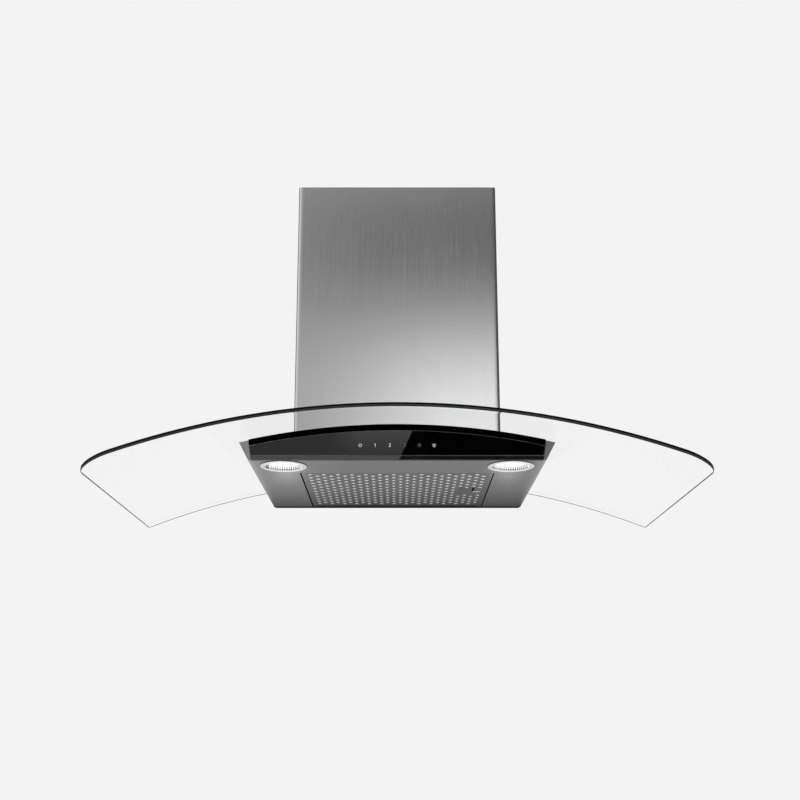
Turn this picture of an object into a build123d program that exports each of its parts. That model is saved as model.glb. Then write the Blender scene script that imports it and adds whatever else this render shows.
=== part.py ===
from build123d import *
from math import cos, radians, sin, sqrt, tan
import os

# Wall range hood with a bent glass canopy, in millimetres. +Z is up, the wall is the plane
# Y = 0 and the front faces -Y. The origin is the centre of the four wall bolts in the back
# of the motor housing. Heights named here are measured from the body's underside, and
# depths are measured from the wall.

os.makedirs("parts", exist_ok=True)

# ---------------------------------------------------------------- driving dimensions

bolt_centre_height = 250.0     # wall bolts' centre over the body's underside
sheet = 1.2                    # steel sheet of the body and the motor housing

# glass canopy: one pane bent about an axis that runs from the wall to the front
glass_width = 898.0
glass_depth = 500.0
glass_thickness = 6.0
glass_bend_radius = 1207.0     # lower face
glass_crown_height = 48.4      # lower face over the body's underside, on the centre line
glass_corner_radius = 50.0
glass_seal_thickness = 1.5     # under and over the pane
gasket_seat_gap = 0.02         # between the body's seal strip and the pane

# air opening through the body's top, the pane and the clamp frame
air_width = 250.0
air_depth = 190.0
air_centre = 120.0             # depth of its centre
air_corner = 20.0

# body: underside outline, sides that flare and a front that leans out
body_width = 446.0
filter_front_margin = 90.0     # body's underside in front of the filter
side_flare = radians(27.4)
front_lean = radians(30.05)

# fascia in the leaning front, from the bottom up: rail, control glass, seal strip
fascia_side_inset = 4.3        # at the underside
fascia_end_lean = radians(5.4)
fascia_thickness = 4.0
fascia_side_gap = 0.3
rail_height = 6.0
panel_seal_height = 7.4        # strip between the control glass and the pane

# lamps in the underside
lamp_side_inset = 49.5         # of its centre from the body's side, at the underside
lamp_front_inset = 39.0        # of its centre from the body's front
lamp_bezel_radius = 36.75
lamp_window_radius = 27.0
lamp_neck_radius = 30.5
lamp_neck_wall = 1.9
lamp_neck_height = 22.0
lamp_bezel_thickness = 1.6
lamp_hole_gap = 0.4
lamp_lens_gap = 0.2
lamp_lens_thickness = 1.5
lamp_reflector_height = 12.5
lamp_reflector_throat = 8.0
lamp_reflector_wall = 0.8
lamp_base_height = 7.0

# grease filter, flush in the underside, turning down about its left lower edge
filter_width = 304.0
filter_length = 277.0
filter_rear = 9.0              # depth of its rear edge
filter_thickness = 10.0
filter_sheet = 1.0
filter_corner = 3.0
filter_gap = 1.0               # round the filter in its opening
hole_radius = 3.7
hole_pitch_x = 22.0
hole_pitch_y = 21.55
hole_columns = 13
hole_rows = 12                 # and one row less in the rows between
hole_field_offset = 8.0        # field's centre in front of the filter's centre
pull_width = 48.0
pull_length = 51.0
pull_inset = 2.0               # from the filter's right edge
pull_depth = 6.5
pull_wall = 0.8
pull_corner = 5.0
pull_slot_width = 10.0
pull_slot_length = 34.0
tab_reach = 6.0
tab_length = 24.0
tab_thickness = 1.2
tab_gap = 0.3                  # over the body's underside sheet
tab_spacing = 180.0
magnet_width = 9.0
magnet_length = 20.0
magnet_height = 4.0
magnet_gap = 0.3               # over the filter's rim
magnet_spacing = 150.0
magnet_bracket_foot = 12.0

# clamp of the pane between body and motor housing
deck_height = 62.0             # top of the clamp frame
clamp_border = 25.0            # clamp frame beside the air opening
support_height = 30.0          # flat underside of the frame under the body's top
clamp_screw_radius = 3.0
clamp_screw_gap = 0.25
clamp_head_radius = 5.0
clamp_head_height = 4.0
clamp_nut_height = 5.0
clamp_screw_end = 1.5          # beyond the nut
clamp_bush_radius = 5.0
clamp_screw_inset = 12.5       # from the clamp frame's long edges
clamp_screw_rows = 3
clamp_row_pitch = 94.0

# motor housing over the pane
housing_depth = 240.0
housing_height = 312.0
housing_flange = 22.0
wall_bolt_x = 220.0
wall_bolt_z = 180.0
wall_bolt_hole = 4.25          # radius
cover_screw_radius = 2.0
cover_head_radius = 3.8
cover_head_height = 2.0
cover_screw_inset = 14.0
cover_screw_length = 9.0

# blower: wheel on a horizontal shaft, scroll, motor
fan_depth = 112.0
fan_height = 185.0
wheel_radius = 75.0
wheel_width = 110.0
wheel_ring = 3.0
wheel_disc = 3.0
blade_count = 36
blade_inner_radius = 60.0
blade_angle = 1.1              # blade thickness as an angle, degrees
blade_sweep = 11.0
hub_radius = 10.0
hub_length = 20.0
shaft_radius = 4.0
shaft_running_gap = 0.05
scroll_start_radius = 84.0
scroll_step = 9.0              # growth of the scroll in each quarter
scroll_wall = 2.0
scroll_inner_width = 120.0
scroll_outlet = 145.0          # over the shaft
inlet_radius = 62.0
motor_radius = 40.0
motor_start = 8.0              # from the wheel's middle
motor_cap_radius = 30.0
motor_cap_height = 3.0
bracket_thickness = 3.0
bracket_ring_radius = 34.0
bracket_arm_width = 14.0
bracket_arm_reach = 76.0
bracket_arms = 3

# outlet with its two-leaf non-return damper
spigot_radius = 75.0
spigot_wall = 2.5
spigot_depth = 85.0
spigot_height = 46.0
spigot_flange_radius = 86.0
spigot_flange = 3.0
duct_top_gap = 1.0             # duct bore inside the spigot's bore
leaf_axis_rise = 16.0          # over the housing's top
leaf_radius = 71.0
leaf_thickness = 1.5
leaf_rest_gap = 0.3
leaf_stop_width = 4.5
leaf_stop_thickness = 2.0
pin_radius = 2.5
pin_running_gap = 0.05
knuckle_radius = 4.5
knuckle_length = 28.0
knuckle_pitch = 30.0
leaf_edge = 5.0                # leaf's straight edge from the pin's axis

# chimney: fixed lower cover, sliding upper cover
chimney_side_gap = 17.5        # between the housing's side and the cover's outside
chimney_depth = 250.0
chimney_height = 508.0
chimney_sheet = 1.0
chimney_corner = 4.0
chimney_flange = 14.0
upper_gap = 0.5
upper_sheet = 0.8
upper_bottom = 86.0
upper_flange = 12.0
upper_top_drop = 0.5
vent_length = 60.0
vent_width = 4.0
vent_pitch = 9.0
vent_count = 6
vent_drop = 60.0               # vents' centre under the upper cover's top
ceiling_bracket_height = 30.0
ceiling_bracket_drop = 8.0
ceiling_bracket_sheet = 1.5
ceiling_bracket_inset = 19.5   # of its step from the lower cover's side
ceiling_ear = 32.0
ceiling_bolt_spacing = 200.0
ceiling_bolt_hole = 3.0
side_bracket_length = 40.0
side_bracket_height = 16.0
side_bracket_sheet = 1.5

# electrics
tray_width = 150.0
tray_height = 30.0
tray_depth = 9.0
tray_wall = 1.5
tray_centre_height = 20.0
board_thickness = 1.6
board_gap = 0.3                # round the board in its tray
driver_width = 110.0
driver_length = 40.0
driver_height = 22.0
driver_corner = 3.0
driver_filter_gap = 14.0       # in front of the filter
terminal_width = 40.0
terminal_length = 60.0
terminal_height = 90.0
terminal_front_gap = 25.0      # behind the housing's cover
capacitor_radius = 17.0
capacitor_length = 60.0
capacitor_front_gap = 30.0     # behind the housing's cover
capacitor_side_gap = 0.3
grommet_radius = 9.0
grommet_bore = 4.5
grommet_flange = 12.0
grommet_lip = 3.0
grommet_inset = 32.0           # from the housing's side
grommet_depth = 30.0

# ---------------------------------------------------------------- derived places


def up(height):
    """Z of a height over the body's underside."""
    return height - bolt_centre_height


body_depth = filter_rear + filter_length + filter_front_margin
fascia_width = body_width - 2 * fascia_side_inset
lamp_spacing = body_width - 2 * lamp_side_inset
lamp_depth = body_depth - lamp_front_inset
driver_depth = filter_rear + filter_length + driver_filter_gap + driver_length / 2
clamp_width = air_width + 2 * clamp_border
housing_width = clamp_width
chimney_width = housing_width + 2 * chimney_side_gap
ceiling_bracket_middle = chimney_width / 2 - ceiling_bracket_inset
grommet_x = housing_width / 2 - grommet_inset
bend_axis_z = up(glass_crown_height) - glass_bend_radius
glass_top_radius = glass_bend_radius + glass_thickness
body_top_radius = glass_bend_radius - glass_seal_thickness
clamp_radius = glass_top_radius + glass_seal_thickness
panel_top_radius = glass_bend_radius - panel_seal_height
above_crown = glass_crown_height + 12.0
housing_top = deck_height + housing_height
filter_centre = filter_rear + filter_length / 2
pull_centre_x = filter_width / 2 - pull_inset - pull_width / 2
spigot_bore = spigot_radius - spigot_wall
clamp_screw_x = clamp_width / 2 - clamp_screw_inset
leaf_axis_height = housing_top + leaf_axis_rise

underside_plane = Plane.XY.offset(up(0))
fan_plane = Plane(origin=(0, -fan_depth, up(fan_height)), x_dir=(0, 1, 0), z_dir=(1, 0, 0))
front_plane = Plane(
    origin=(0, -body_depth, up(0)),
    x_dir=(1, 0, 0),
    z_dir=(0, -cos(front_lean), -sin(front_lean)),
)


def arched_band(width, low_radius, high_radius):
    """Strip of the XZ plane between two arcs about the pane's bend axis."""
    half = width / 2
    low_edge = bend_axis_z + sqrt(low_radius**2 - half**2)
    high_edge = bend_axis_z + sqrt(high_radius**2 - half**2)
    with BuildSketch(Plane.XZ) as band:
        with BuildLine():
            ThreePointArc((-half, low_edge), (0, bend_axis_z + low_radius), (half, low_edge))
            Line((half, low_edge), (half, high_edge))
            ThreePointArc((half, high_edge), (0, bend_axis_z + high_radius), (-half, high_edge))
            Line((-half, high_edge), (-half, low_edge))
        make_face()
    return band.sketch


def body_outline(height, side=0.0, front=0.0, back=0.0):
    """Plan section of the body at a height, drawn in from its sides, front and back."""
    half = body_width / 2 + height * tan(side_flare) - side
    reach = body_depth + height * tan(front_lean) - front
    with BuildSketch(Plane.XY.offset(up(height))) as outline:
        with Locations((0, -(reach + back) / 2)):
            Rectangle(2 * half, reach - back)
    return outline.sketch


def fascia_outline(height, thickness, margin=0.0):
    """Plan section of the layer that lies behind the leaning front face."""
    half = fascia_width / 2 + height * tan(fascia_end_lean) + margin
    reach = body_depth + height * tan(front_lean)
    behind = thickness / cos(front_lean)
    with BuildSketch(Plane.XY.offset(up(height))) as outline:
        with Locations((0, -reach + behind / 2)):
            Rectangle(2 * half, behind)
    return outline.sketch


def finish(part, name):
    """Label a finished piece and write it."""
    part.label = name
    export_step(part, f"parts/{name}.step")


cut_margin = 20.0              # that a cutting shape reaches beyond what it cuts
cut_drop = 150.0               # that it starts under the pane
everything_wide = glass_width + cut_margin
everything_deep = glass_depth + cut_margin
low_enough = glass_bend_radius - cut_drop
clamp_screw_places = [
    (loc.position.X, loc.position.Y - air_centre)
    for loc in GridLocations(2 * clamp_screw_x, clamp_row_pitch, 2, clamp_screw_rows)
]

# ---------------------------------------------------------------- glass canopy

with BuildPart() as glass_canopy:
    with BuildSketch(Plane.XY.offset(bend_axis_z + low_enough)) as pane:
        with Locations((0, -glass_depth / 2)):
            Rectangle(glass_width, glass_depth)
        fillet(pane.vertices().group_by(Axis.Y)[0], radius=glass_corner_radius)
        with Locations((0, -air_centre)):
            RectangleRounded(air_width, air_depth, air_corner, mode=Mode.SUBTRACT)
        with Locations(*clamp_screw_places):
            Circle(clamp_bush_radius, mode=Mode.SUBTRACT)
    extrude(amount=glass_top_radius - low_enough + 10.0)
    extrude(
        arched_band(everything_wide, glass_bend_radius, glass_top_radius),
        amount=everything_deep,
        mode=Mode.INTERSECT,
    )
finish(glass_canopy.part, "glass_canopy")

# ---------------------------------------------------------------- body

side_inset = sheet / cos(side_flare)
front_inset = (sheet + fascia_thickness) / cos(front_lean)

# hollow of the body, under its arched top sheet
with BuildPart() as body_hollow:
    loft(
        [
            body_outline(sheet, side_inset, front_inset, sheet),
            body_outline(above_crown, side_inset, front_inset, sheet),
        ],
        ruled=True,
    )
    extrude(
        arched_band(everything_wide, low_enough, body_top_radius - sheet),
        amount=everything_deep,
        mode=Mode.INTERSECT,
    )

with BuildPart() as body_shell:
    loft([body_outline(0), body_outline(above_crown)], ruled=True)
    extrude(
        arched_band(everything_wide, low_enough, body_top_radius),
        amount=everything_deep,
        mode=Mode.INTERSECT,
    )
    add(body_hollow.part, mode=Mode.SUBTRACT)
    # pocket that takes the rail, the control glass and the seal strip
    loft(
        [
            fascia_outline(0, fascia_thickness, fascia_side_gap),
            fascia_outline(above_crown, fascia_thickness, fascia_side_gap),
        ],
        ruled=True,
        mode=Mode.SUBTRACT,
    )
    # filter opening and lamp holes in the underside
    with BuildSketch(underside_plane):
        with Locations((0, -filter_centre)):
            RectangleRounded(
                filter_width + 2 * filter_gap, filter_length + 2 * filter_gap, filter_corner
            )
        with Locations((-lamp_spacing / 2, -lamp_depth), (lamp_spacing / 2, -lamp_depth)):
            Circle(lamp_neck_radius + lamp_hole_gap)
    extrude(amount=sheet, mode=Mode.SUBTRACT)
    # air opening and screw holes in the arched top
    with BuildSketch(Plane.XY.offset(up(support_height))):
        with Locations((0, -air_centre)):
            RectangleRounded(air_width, air_depth, air_corner)
        with Locations(*clamp_screw_places):
            Circle(clamp_screw_radius + clamp_screw_gap)
    extrude(amount=above_crown - support_height, mode=Mode.SUBTRACT)
finish(body_shell.part, "body_shell")

# stiffening frame under the arched top: flat below for the nuts
with BuildPart() as support_frame:
    with BuildSketch(Plane.XY.offset(up(support_height))):
        with Locations((0, -air_centre)):
            Rectangle(clamp_width, housing_depth - 4 * sheet)
            RectangleRounded(air_width, air_depth, air_corner, mode=Mode.SUBTRACT)
        with Locations(*clamp_screw_places):
            Circle(clamp_screw_radius + clamp_screw_gap, mode=Mode.SUBTRACT)
    extrude(amount=above_crown - support_height)
    extrude(
        arched_band(everything_wide, low_enough, body_top_radius - sheet),
        amount=everything_deep,
        mode=Mode.INTERSECT,
    )
finish(support_frame.part, "support_frame")

# ---------------------------------------------------------------- fascia

with BuildPart() as fascia_rail:
    loft(
        [fascia_outline(0, fascia_thickness), fascia_outline(rail_height, fascia_thickness)],
        ruled=True,
    )
finish(fascia_rail.part, "fascia_rail")

with BuildPart() as fascia_panel:
    loft(
        [
            fascia_outline(rail_height, fascia_thickness),
            fascia_outline(above_crown, fascia_thickness),
        ],
        ruled=True,
    )
    extrude(
        arched_band(everything_wide, low_enough, panel_top_radius),
        amount=everything_deep,
        mode=Mode.INTERSECT,
    )
finish(fascia_panel.part, "fascia_panel")

with BuildPart() as fascia_seal:
    loft(
        [
            fascia_outline(rail_height, fascia_thickness),
            fascia_outline(above_crown, fascia_thickness),
        ],
        ruled=True,
    )
    extrude(
        arched_band(everything_wide, panel_top_radius, glass_bend_radius),
        amount=everything_deep,
        mode=Mode.INTERSECT,
    )
finish(fascia_seal.part, "fascia_seal")

# ---------------------------------------------------------------- seals and clamp of the pane

strip_width = 12.0             # seal strip round the body's top
strip_inset = 3.0
strip_outer_width = body_width - 2 * strip_inset
strip_outer_depth = body_depth - 2 * strip_inset

with BuildPart() as glass_gasket:
    with BuildSketch(Plane.XY.offset(bend_axis_z + low_enough)):
        with Locations((0, -body_depth / 2)):
            Rectangle(strip_outer_width, strip_outer_depth)
            Rectangle(
                strip_outer_width - 2 * strip_width,
                strip_outer_depth - 2 * strip_width,
                mode=Mode.SUBTRACT,
            )
    extrude(amount=glass_top_radius - low_enough)
    extrude(
        arched_band(everything_wide, body_top_radius, glass_bend_radius - gasket_seat_gap),
        amount=everything_deep,
        mode=Mode.INTERSECT,
    )
finish(glass_gasket.part, "glass_gasket")

with BuildPart() as collar_gasket:
    with BuildSketch(Plane.XY.offset(bend_axis_z + low_enough)):
        with Locations((0, -air_centre)):
            Rectangle(clamp_width, housing_depth - 4 * sheet)
            RectangleRounded(air_width, air_depth, air_corner, mode=Mode.SUBTRACT)
        with Locations(*clamp_screw_places):
            Circle(clamp_bush_radius, mode=Mode.SUBTRACT)
    extrude(amount=clamp_radius - low_enough + 10.0)
    extrude(
        arched_band(everything_wide, glass_top_radius, clamp_radius),
        amount=everything_deep,
        mode=Mode.INTERSECT,
    )
finish(collar_gasket.part, "collar_gasket")

with BuildPart() as clamp_frame:
    with BuildSketch(Plane.XY.offset(up(deck_height))):
        with Locations((0, -air_centre)):
            Rectangle(clamp_width, housing_depth - 4 * sheet)
            RectangleRounded(air_width, air_depth, air_corner, mode=Mode.SUBTRACT)
        with Locations(*clamp_screw_places):
            Circle(clamp_screw_radius + clamp_screw_gap, mode=Mode.SUBTRACT)
    extrude(amount=-(deck_height - support_height))
    extrude(
        arched_band(everything_wide, low_enough, clamp_radius),
        amount=everything_deep,
        mode=Mode.SUBTRACT,
    )
finish(clamp_frame.part, "clamp_frame")

# rubber bushes that keep the screws off the pane
with BuildPart() as screw_bushes:
    with BuildSketch(Plane.XY.offset(bend_axis_z + low_enough)):
        with Locations(*clamp_screw_places):
            Circle(clamp_bush_radius - clamp_screw_gap)
            Circle(clamp_screw_radius, mode=Mode.SUBTRACT)
    extrude(amount=clamp_radius - low_enough)
    extrude(
        arched_band(everything_wide, body_top_radius, clamp_radius),
        amount=everything_deep,
        mode=Mode.INTERSECT,
    )
finish(screw_bushes.part, "screw_bushes")

head_seat = deck_height + sheet
screw_bottom = support_height - clamp_nut_height - clamp_screw_end

with BuildPart() as clamp_screws:
    with BuildSketch(Plane.XY.offset(up(screw_bottom))):
        with Locations(*clamp_screw_places):
            Circle(clamp_screw_radius)
    extrude(amount=head_seat - screw_bottom)
    with BuildSketch(Plane.XY.offset(up(head_seat))):
        with Locations(*clamp_screw_places):
            RegularPolygon(clamp_head_radius, 6)
    extrude(amount=clamp_head_height)
finish(clamp_screws.part, "clamp_screws")

with BuildPart() as clamp_nuts:
    with BuildSketch(Plane.XY.offset(up(support_height))):
        with Locations(*clamp_screw_places):
            RegularPolygon(clamp_head_radius, 6)
            Circle(clamp_screw_radius, mode=Mode.SUBTRACT)
    extrude(amount=-clamp_nut_height)
finish(clamp_nuts.part, "clamp_nuts")

# ---------------------------------------------------------------- lamps

for side, sign in (("left", -1), ("right", 1)):
    lamp_centre = (sign * lamp_spacing / 2, -lamp_depth, up(0))
    lamp_plane = Plane(origin=lamp_centre, x_dir=(1, 0, 0), z_dir=(0, -1, 0))
    lamp_axis = Axis(lamp_centre, (0, 0, 1))
    neck_bore = lamp_neck_radius - lamp_neck_wall
    glass_seat = neck_bore - lamp_lens_gap

    with BuildPart() as lamp_bezel:
        with BuildSketch(lamp_plane):
            with BuildLine():
                Polyline(
                    (lamp_window_radius, 0),
                    (lamp_window_radius + 1.0, -lamp_bezel_thickness),
                    (lamp_bezel_radius - 1.0, -lamp_bezel_thickness),
                    (lamp_bezel_radius, 0),
                    (lamp_neck_radius, 0),
                    (lamp_neck_radius, lamp_neck_height),
                    (neck_bore, lamp_neck_height),
                    (neck_bore, 0),
                    close=True,
                )
            make_face()
        revolve(axis=lamp_axis)
    finish(lamp_bezel.part, f"lamp_bezel_{side}")

    with BuildPart() as lamp_lens:
        with BuildSketch(Plane(origin=lamp_centre)):
            Circle(glass_seat)
        extrude(amount=lamp_lens_thickness)
    finish(lamp_lens.part, f"lamp_lens_{side}")

    cup_top = lamp_lens_thickness + lamp_reflector_height
    with BuildPart() as lamp_reflector:
        with BuildSketch(lamp_plane):
            with BuildLine():
                TangentArc(
                    (lamp_reflector_throat, cup_top - lamp_reflector_wall),
                    (glass_seat - lamp_reflector_wall, lamp_lens_thickness),
                    tangent=(1, 0),
                )
                Line(
                    (lamp_reflector_throat, cup_top - lamp_reflector_wall),
                    (lamp_reflector_throat, cup_top),
                )
                TangentArc(
                    (lamp_reflector_throat, cup_top),
                    (glass_seat, lamp_lens_thickness),
                    tangent=(1, 0),
                )
                Line(
                    (glass_seat, lamp_lens_thickness),
                    (glass_seat - lamp_reflector_wall, lamp_lens_thickness),
                )
            make_face()
        revolve(axis=lamp_axis)
    finish(lamp_reflector.part, f"lamp_reflector_{side}")

    with BuildPart() as lamp_base:
        with BuildSketch(Plane(origin=lamp_centre).offset(cup_top)):
            Circle(glass_seat)
        extrude(amount=lamp_base_height)
    finish(lamp_base.part, f"lamp_base_{side}")

# ---------------------------------------------------------------- grease filter

field_centre = filter_centre + hole_field_offset
pull_zone_x = pull_centre_x - pull_width / 2 - hole_radius
pull_zone_y = pull_length / 2 + hole_radius


def clear_of_pull(x, y):
    """Whether a hole stands clear of the finger pull."""
    return x < pull_zone_x or abs(y + filter_centre) > pull_zone_y


def hole_row_places(shift, rows):
    """Holes of one of the two staggered grids, less those under the finger pull."""
    grid = GridLocations(hole_pitch_x, hole_pitch_y, hole_columns, rows)
    places = [(loc.position.X + shift, loc.position.Y - field_centre) for loc in grid]
    return [(x, y) for x, y in places if clear_of_pull(x, y)]


hole_places = hole_row_places(-hole_pitch_x / 4, hole_rows)
hole_places += hole_row_places(hole_pitch_x / 4, hole_rows - 1)

# pressed tray with the staggered round perforation
with BuildPart() as filter_face:
    with BuildSketch(underside_plane):
        with Locations((0, -filter_centre)):
            RectangleRounded(filter_width, filter_length, filter_corner)
    extrude(amount=filter_thickness)
    with BuildSketch(Plane.XY.offset(up(filter_sheet))):
        with Locations((0, -filter_centre)):
            RectangleRounded(
                filter_width - 2 * filter_sheet,
                filter_length - 2 * filter_sheet,
                filter_corner - filter_sheet,
            )
    extrude(amount=filter_thickness - filter_sheet, mode=Mode.SUBTRACT)
    with BuildSketch(underside_plane):
        with Locations(*hole_places):
            RegularPolygon(hole_radius, 6)
        with Locations((pull_centre_x, -filter_centre)):
            RectangleRounded(pull_width, pull_length, pull_corner)
    extrude(amount=filter_sheet, mode=Mode.SUBTRACT)
finish(filter_face.part, "filter_face")

# pressed finger pull: a dish open downwards, with a slot behind its lip
slot_x = pull_centre_x + pull_width / 16
with BuildPart() as filter_pull:
    with BuildSketch(underside_plane):
        with Locations((pull_centre_x, -filter_centre)):
            RectangleRounded(pull_width, pull_length, pull_corner)
    extrude(amount=pull_depth)
    with BuildSketch(underside_plane):
        with Locations((pull_centre_x, -filter_centre)):
            RectangleRounded(
                pull_width - 2 * pull_wall, pull_length - 2 * pull_wall, pull_corner - pull_wall
            )
    extrude(amount=pull_depth - pull_wall, mode=Mode.SUBTRACT)
    with BuildSketch(Plane.XY.offset(up(pull_depth - pull_wall))):
        with Locations((slot_x, -filter_centre)):
            SlotOverall(pull_slot_length, pull_slot_width, rotation=90)
    extrude(amount=pull_wall, mode=Mode.SUBTRACT)
    with BuildSketch(Plane.XY.offset(up(pull_wall))):
        with Locations((slot_x + pull_slot_width / 2 + pull_wall / 2, -filter_centre)):
            Rectangle(pull_wall, pull_slot_length - pull_slot_width)
    extrude(amount=pull_depth - 2 * pull_wall)
finish(filter_pull.part, "filter_pull")

# pack of aluminium mesh between the tray and the back frame
mesh_clearance = 0.3
with BuildPart() as filter_mesh:
    with BuildSketch(Plane.XY.offset(up(filter_sheet))):
        with Locations((0, -filter_centre)):
            RectangleRounded(
                filter_width - 2 * filter_sheet - 2 * mesh_clearance,
                filter_length - 2 * filter_sheet - 2 * mesh_clearance,
                filter_corner - filter_sheet,
            )
        with Locations((pull_centre_x, -filter_centre)):
            Rectangle(
                pull_width + 2 * mesh_clearance, pull_length + 2 * mesh_clearance,
                mode=Mode.SUBTRACT,
            )
    extrude(amount=filter_thickness - 2 * filter_sheet)
finish(filter_mesh.part, "filter_mesh")

# back frame: a sheet with nine windows that holds the mesh in the tray
window_columns = 3
window_rows = 3
back_rib = 14.0
window_width = (filter_width - (window_columns + 1) * back_rib) / window_columns
window_length = (filter_length - (window_rows + 1) * back_rib) / window_rows
with BuildPart() as filter_back:
    with BuildSketch(Plane.XY.offset(up(filter_thickness - filter_sheet))):
        with Locations((0, -filter_centre)):
            RectangleRounded(
                filter_width - 2 * filter_sheet - 2 * mesh_clearance,
                filter_length - 2 * filter_sheet - 2 * mesh_clearance,
                filter_corner - filter_sheet,
            )
            with GridLocations(
                window_width + back_rib, window_length + back_rib, window_columns, window_rows
            ):
                RectangleRounded(window_width, window_length, filter_corner, mode=Mode.SUBTRACT)
    extrude(amount=filter_sheet)
finish(filter_back.part, "filter_back")

# two tongues on the left wall that hook over the opening's edge
with BuildPart() as filter_tabs:
    with BuildSketch(Plane.XY.offset(up(sheet + tab_gap))):
        with Locations((-filter_width / 2 - tab_reach / 2, -filter_centre)):
            with GridLocations(0, tab_spacing, 1, 2):
                Rectangle(tab_reach, tab_length)
    extrude(amount=tab_thickness)
finish(filter_tabs.part, "filter_tabs")

# magnets on brackets over the right rim, which hold the filter shut
opening_half = filter_width / 2 + filter_gap
web_x = opening_half + 2.0     # upright web of the bracket, beside the opening
magnet_bottom = filter_thickness + magnet_gap
magnet_top = magnet_bottom + magnet_height
bracket_outer = web_x + magnet_bracket_foot
magnet_inner = filter_width / 2 - magnet_width

with BuildPart() as magnet_brackets:
    with BuildSketch(Plane.XZ.offset(filter_centre)) as bracket_profile:
        with BuildLine():
            Polyline(
                (bracket_outer, up(sheet)),
                (bracket_outer, up(2 * sheet)),
                (web_x + sheet, up(2 * sheet)),
                (web_x + sheet, up(magnet_top + sheet)),
                (magnet_inner, up(magnet_top + sheet)),
                (magnet_inner, up(magnet_top)),
                (web_x, up(magnet_top)),
                (web_x, up(sheet)),
                close=True,
            )
        make_face()
    extrude(bracket_profile.sketch.moved(Location((0, magnet_spacing / 2, 0))),
            amount=magnet_length / 2, both=True)
    extrude(bracket_profile.sketch.moved(Location((0, -magnet_spacing / 2, 0))),
            amount=magnet_length / 2, both=True)
finish(magnet_brackets.part, "magnet_brackets")

with BuildPart() as filter_magnets:
    with BuildSketch(Plane.XY.offset(up(magnet_bottom))):
        with Locations((magnet_inner + magnet_width / 2, -filter_centre)):
            with GridLocations(0, magnet_spacing, 1, 2):
                Rectangle(magnet_width, magnet_length)
    extrude(amount=magnet_height)
finish(filter_magnets.part, "filter_magnets")

# ---------------------------------------------------------------- motor housing

with BuildPart() as motor_housing:
    with BuildSketch(Plane.XY.offset(up(deck_height))):
        with Locations((0, -(housing_depth - sheet) / 2)):
            Rectangle(housing_width, housing_depth - sheet)
    extrude(amount=housing_height)
    with BuildSketch(Plane.XY.offset(up(deck_height + sheet))):
        with Locations((0, -(housing_depth + sheet) / 2)):
            Rectangle(housing_width - 2 * sheet, housing_depth - sheet)
    extrude(amount=housing_height - 2 * sheet, mode=Mode.SUBTRACT)
    # opening in the floor, which leaves a flange for the clamp screws
    with BuildSketch(Plane.XY.offset(up(deck_height))):
        with Locations((0, -air_centre)):
            RectangleRounded(air_width, air_depth, air_corner)
        with Locations(*clamp_screw_places):
            Circle(clamp_screw_radius + clamp_screw_gap)
    extrude(amount=sheet, mode=Mode.SUBTRACT)
    # outlet and cable entry in the top
    with BuildSketch(Plane.XY.offset(up(housing_top - sheet))):
        with Locations((0, -spigot_depth)):
            Circle(spigot_bore)
        with Locations((grommet_x, -grommet_depth)):
            Circle(grommet_radius)
    extrude(amount=sheet, mode=Mode.SUBTRACT)
    # four wall bolts about the origin
    with BuildSketch(Plane.XZ):
        with GridLocations(wall_bolt_x, wall_bolt_z, 2, 2):
            Circle(wall_bolt_hole)
    extrude(amount=sheet, mode=Mode.SUBTRACT)
finish(motor_housing.part, "motor_housing")

cover_height = housing_height - 2 * sheet
cover_centre = up(deck_height + housing_height / 2)
cover_front_plane = Plane(
    origin=(0, -housing_depth, cover_centre), x_dir=(1, 0, 0), z_dir=(0, -1, 0)
)
cover_screw_x = housing_width - 2 * cover_screw_inset
cover_screw_z = housing_height - 2 * cover_screw_inset

# folded lips inside the housing's front edges, which the cover is screwed to
with BuildPart() as cover_lips:
    with BuildSketch(cover_front_plane.offset(-sheet)):
        with Locations(
            (-(housing_width / 2 - sheet - housing_flange / 2), 0),
            (housing_width / 2 - sheet - housing_flange / 2, 0),
        ):
            Rectangle(housing_flange, cover_height)
        with GridLocations(cover_screw_x, cover_screw_z, 2, 2):
            Circle(cover_screw_radius, mode=Mode.SUBTRACT)
    extrude(amount=-sheet)
finish(cover_lips.part, "cover_lips")

with BuildPart() as housing_cover:
    with BuildSketch(cover_front_plane):
        Rectangle(housing_width, housing_height)
        with GridLocations(cover_screw_x, cover_screw_z, 2, 2):
            Circle(cover_screw_radius, mode=Mode.SUBTRACT)
    extrude(amount=-sheet)
finish(housing_cover.part, "housing_cover")

with BuildPart() as cover_screws:
    with BuildSketch(cover_front_plane):
        with GridLocations(cover_screw_x, cover_screw_z, 2, 2):
            Circle(cover_head_radius)
    extrude(amount=cover_head_height)
    with BuildSketch(cover_front_plane):
        with GridLocations(cover_screw_x, cover_screw_z, 2, 2):
            Circle(cover_screw_radius)
    extrude(amount=-cover_screw_length)
finish(cover_screws.part, "cover_screws")

# ---------------------------------------------------------------- blower

half_step = scroll_step / 2
scroll_left_x = -half_step
scroll_right_x = half_step + scroll_start_radius + 2 * scroll_step

with BuildSketch(fan_plane) as scroll_inside:
    with BuildLine():
        CenterArc((-half_step, -half_step), scroll_start_radius, 90, 90)
        CenterArc((half_step, -half_step), scroll_start_radius + scroll_step, 180, 90)
        CenterArc((half_step, half_step), scroll_start_radius + 2 * scroll_step, 270, 90)
        Polyline(
            (scroll_right_x, half_step),
            (scroll_right_x, scroll_outlet),
            (scroll_left_x, scroll_outlet),
            (scroll_left_x, scroll_start_radius - half_step),
        )
    make_face()

with BuildSketch(fan_plane) as scroll_outside:
    add(scroll_inside.sketch_local)
    offset(amount=scroll_wall)

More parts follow.
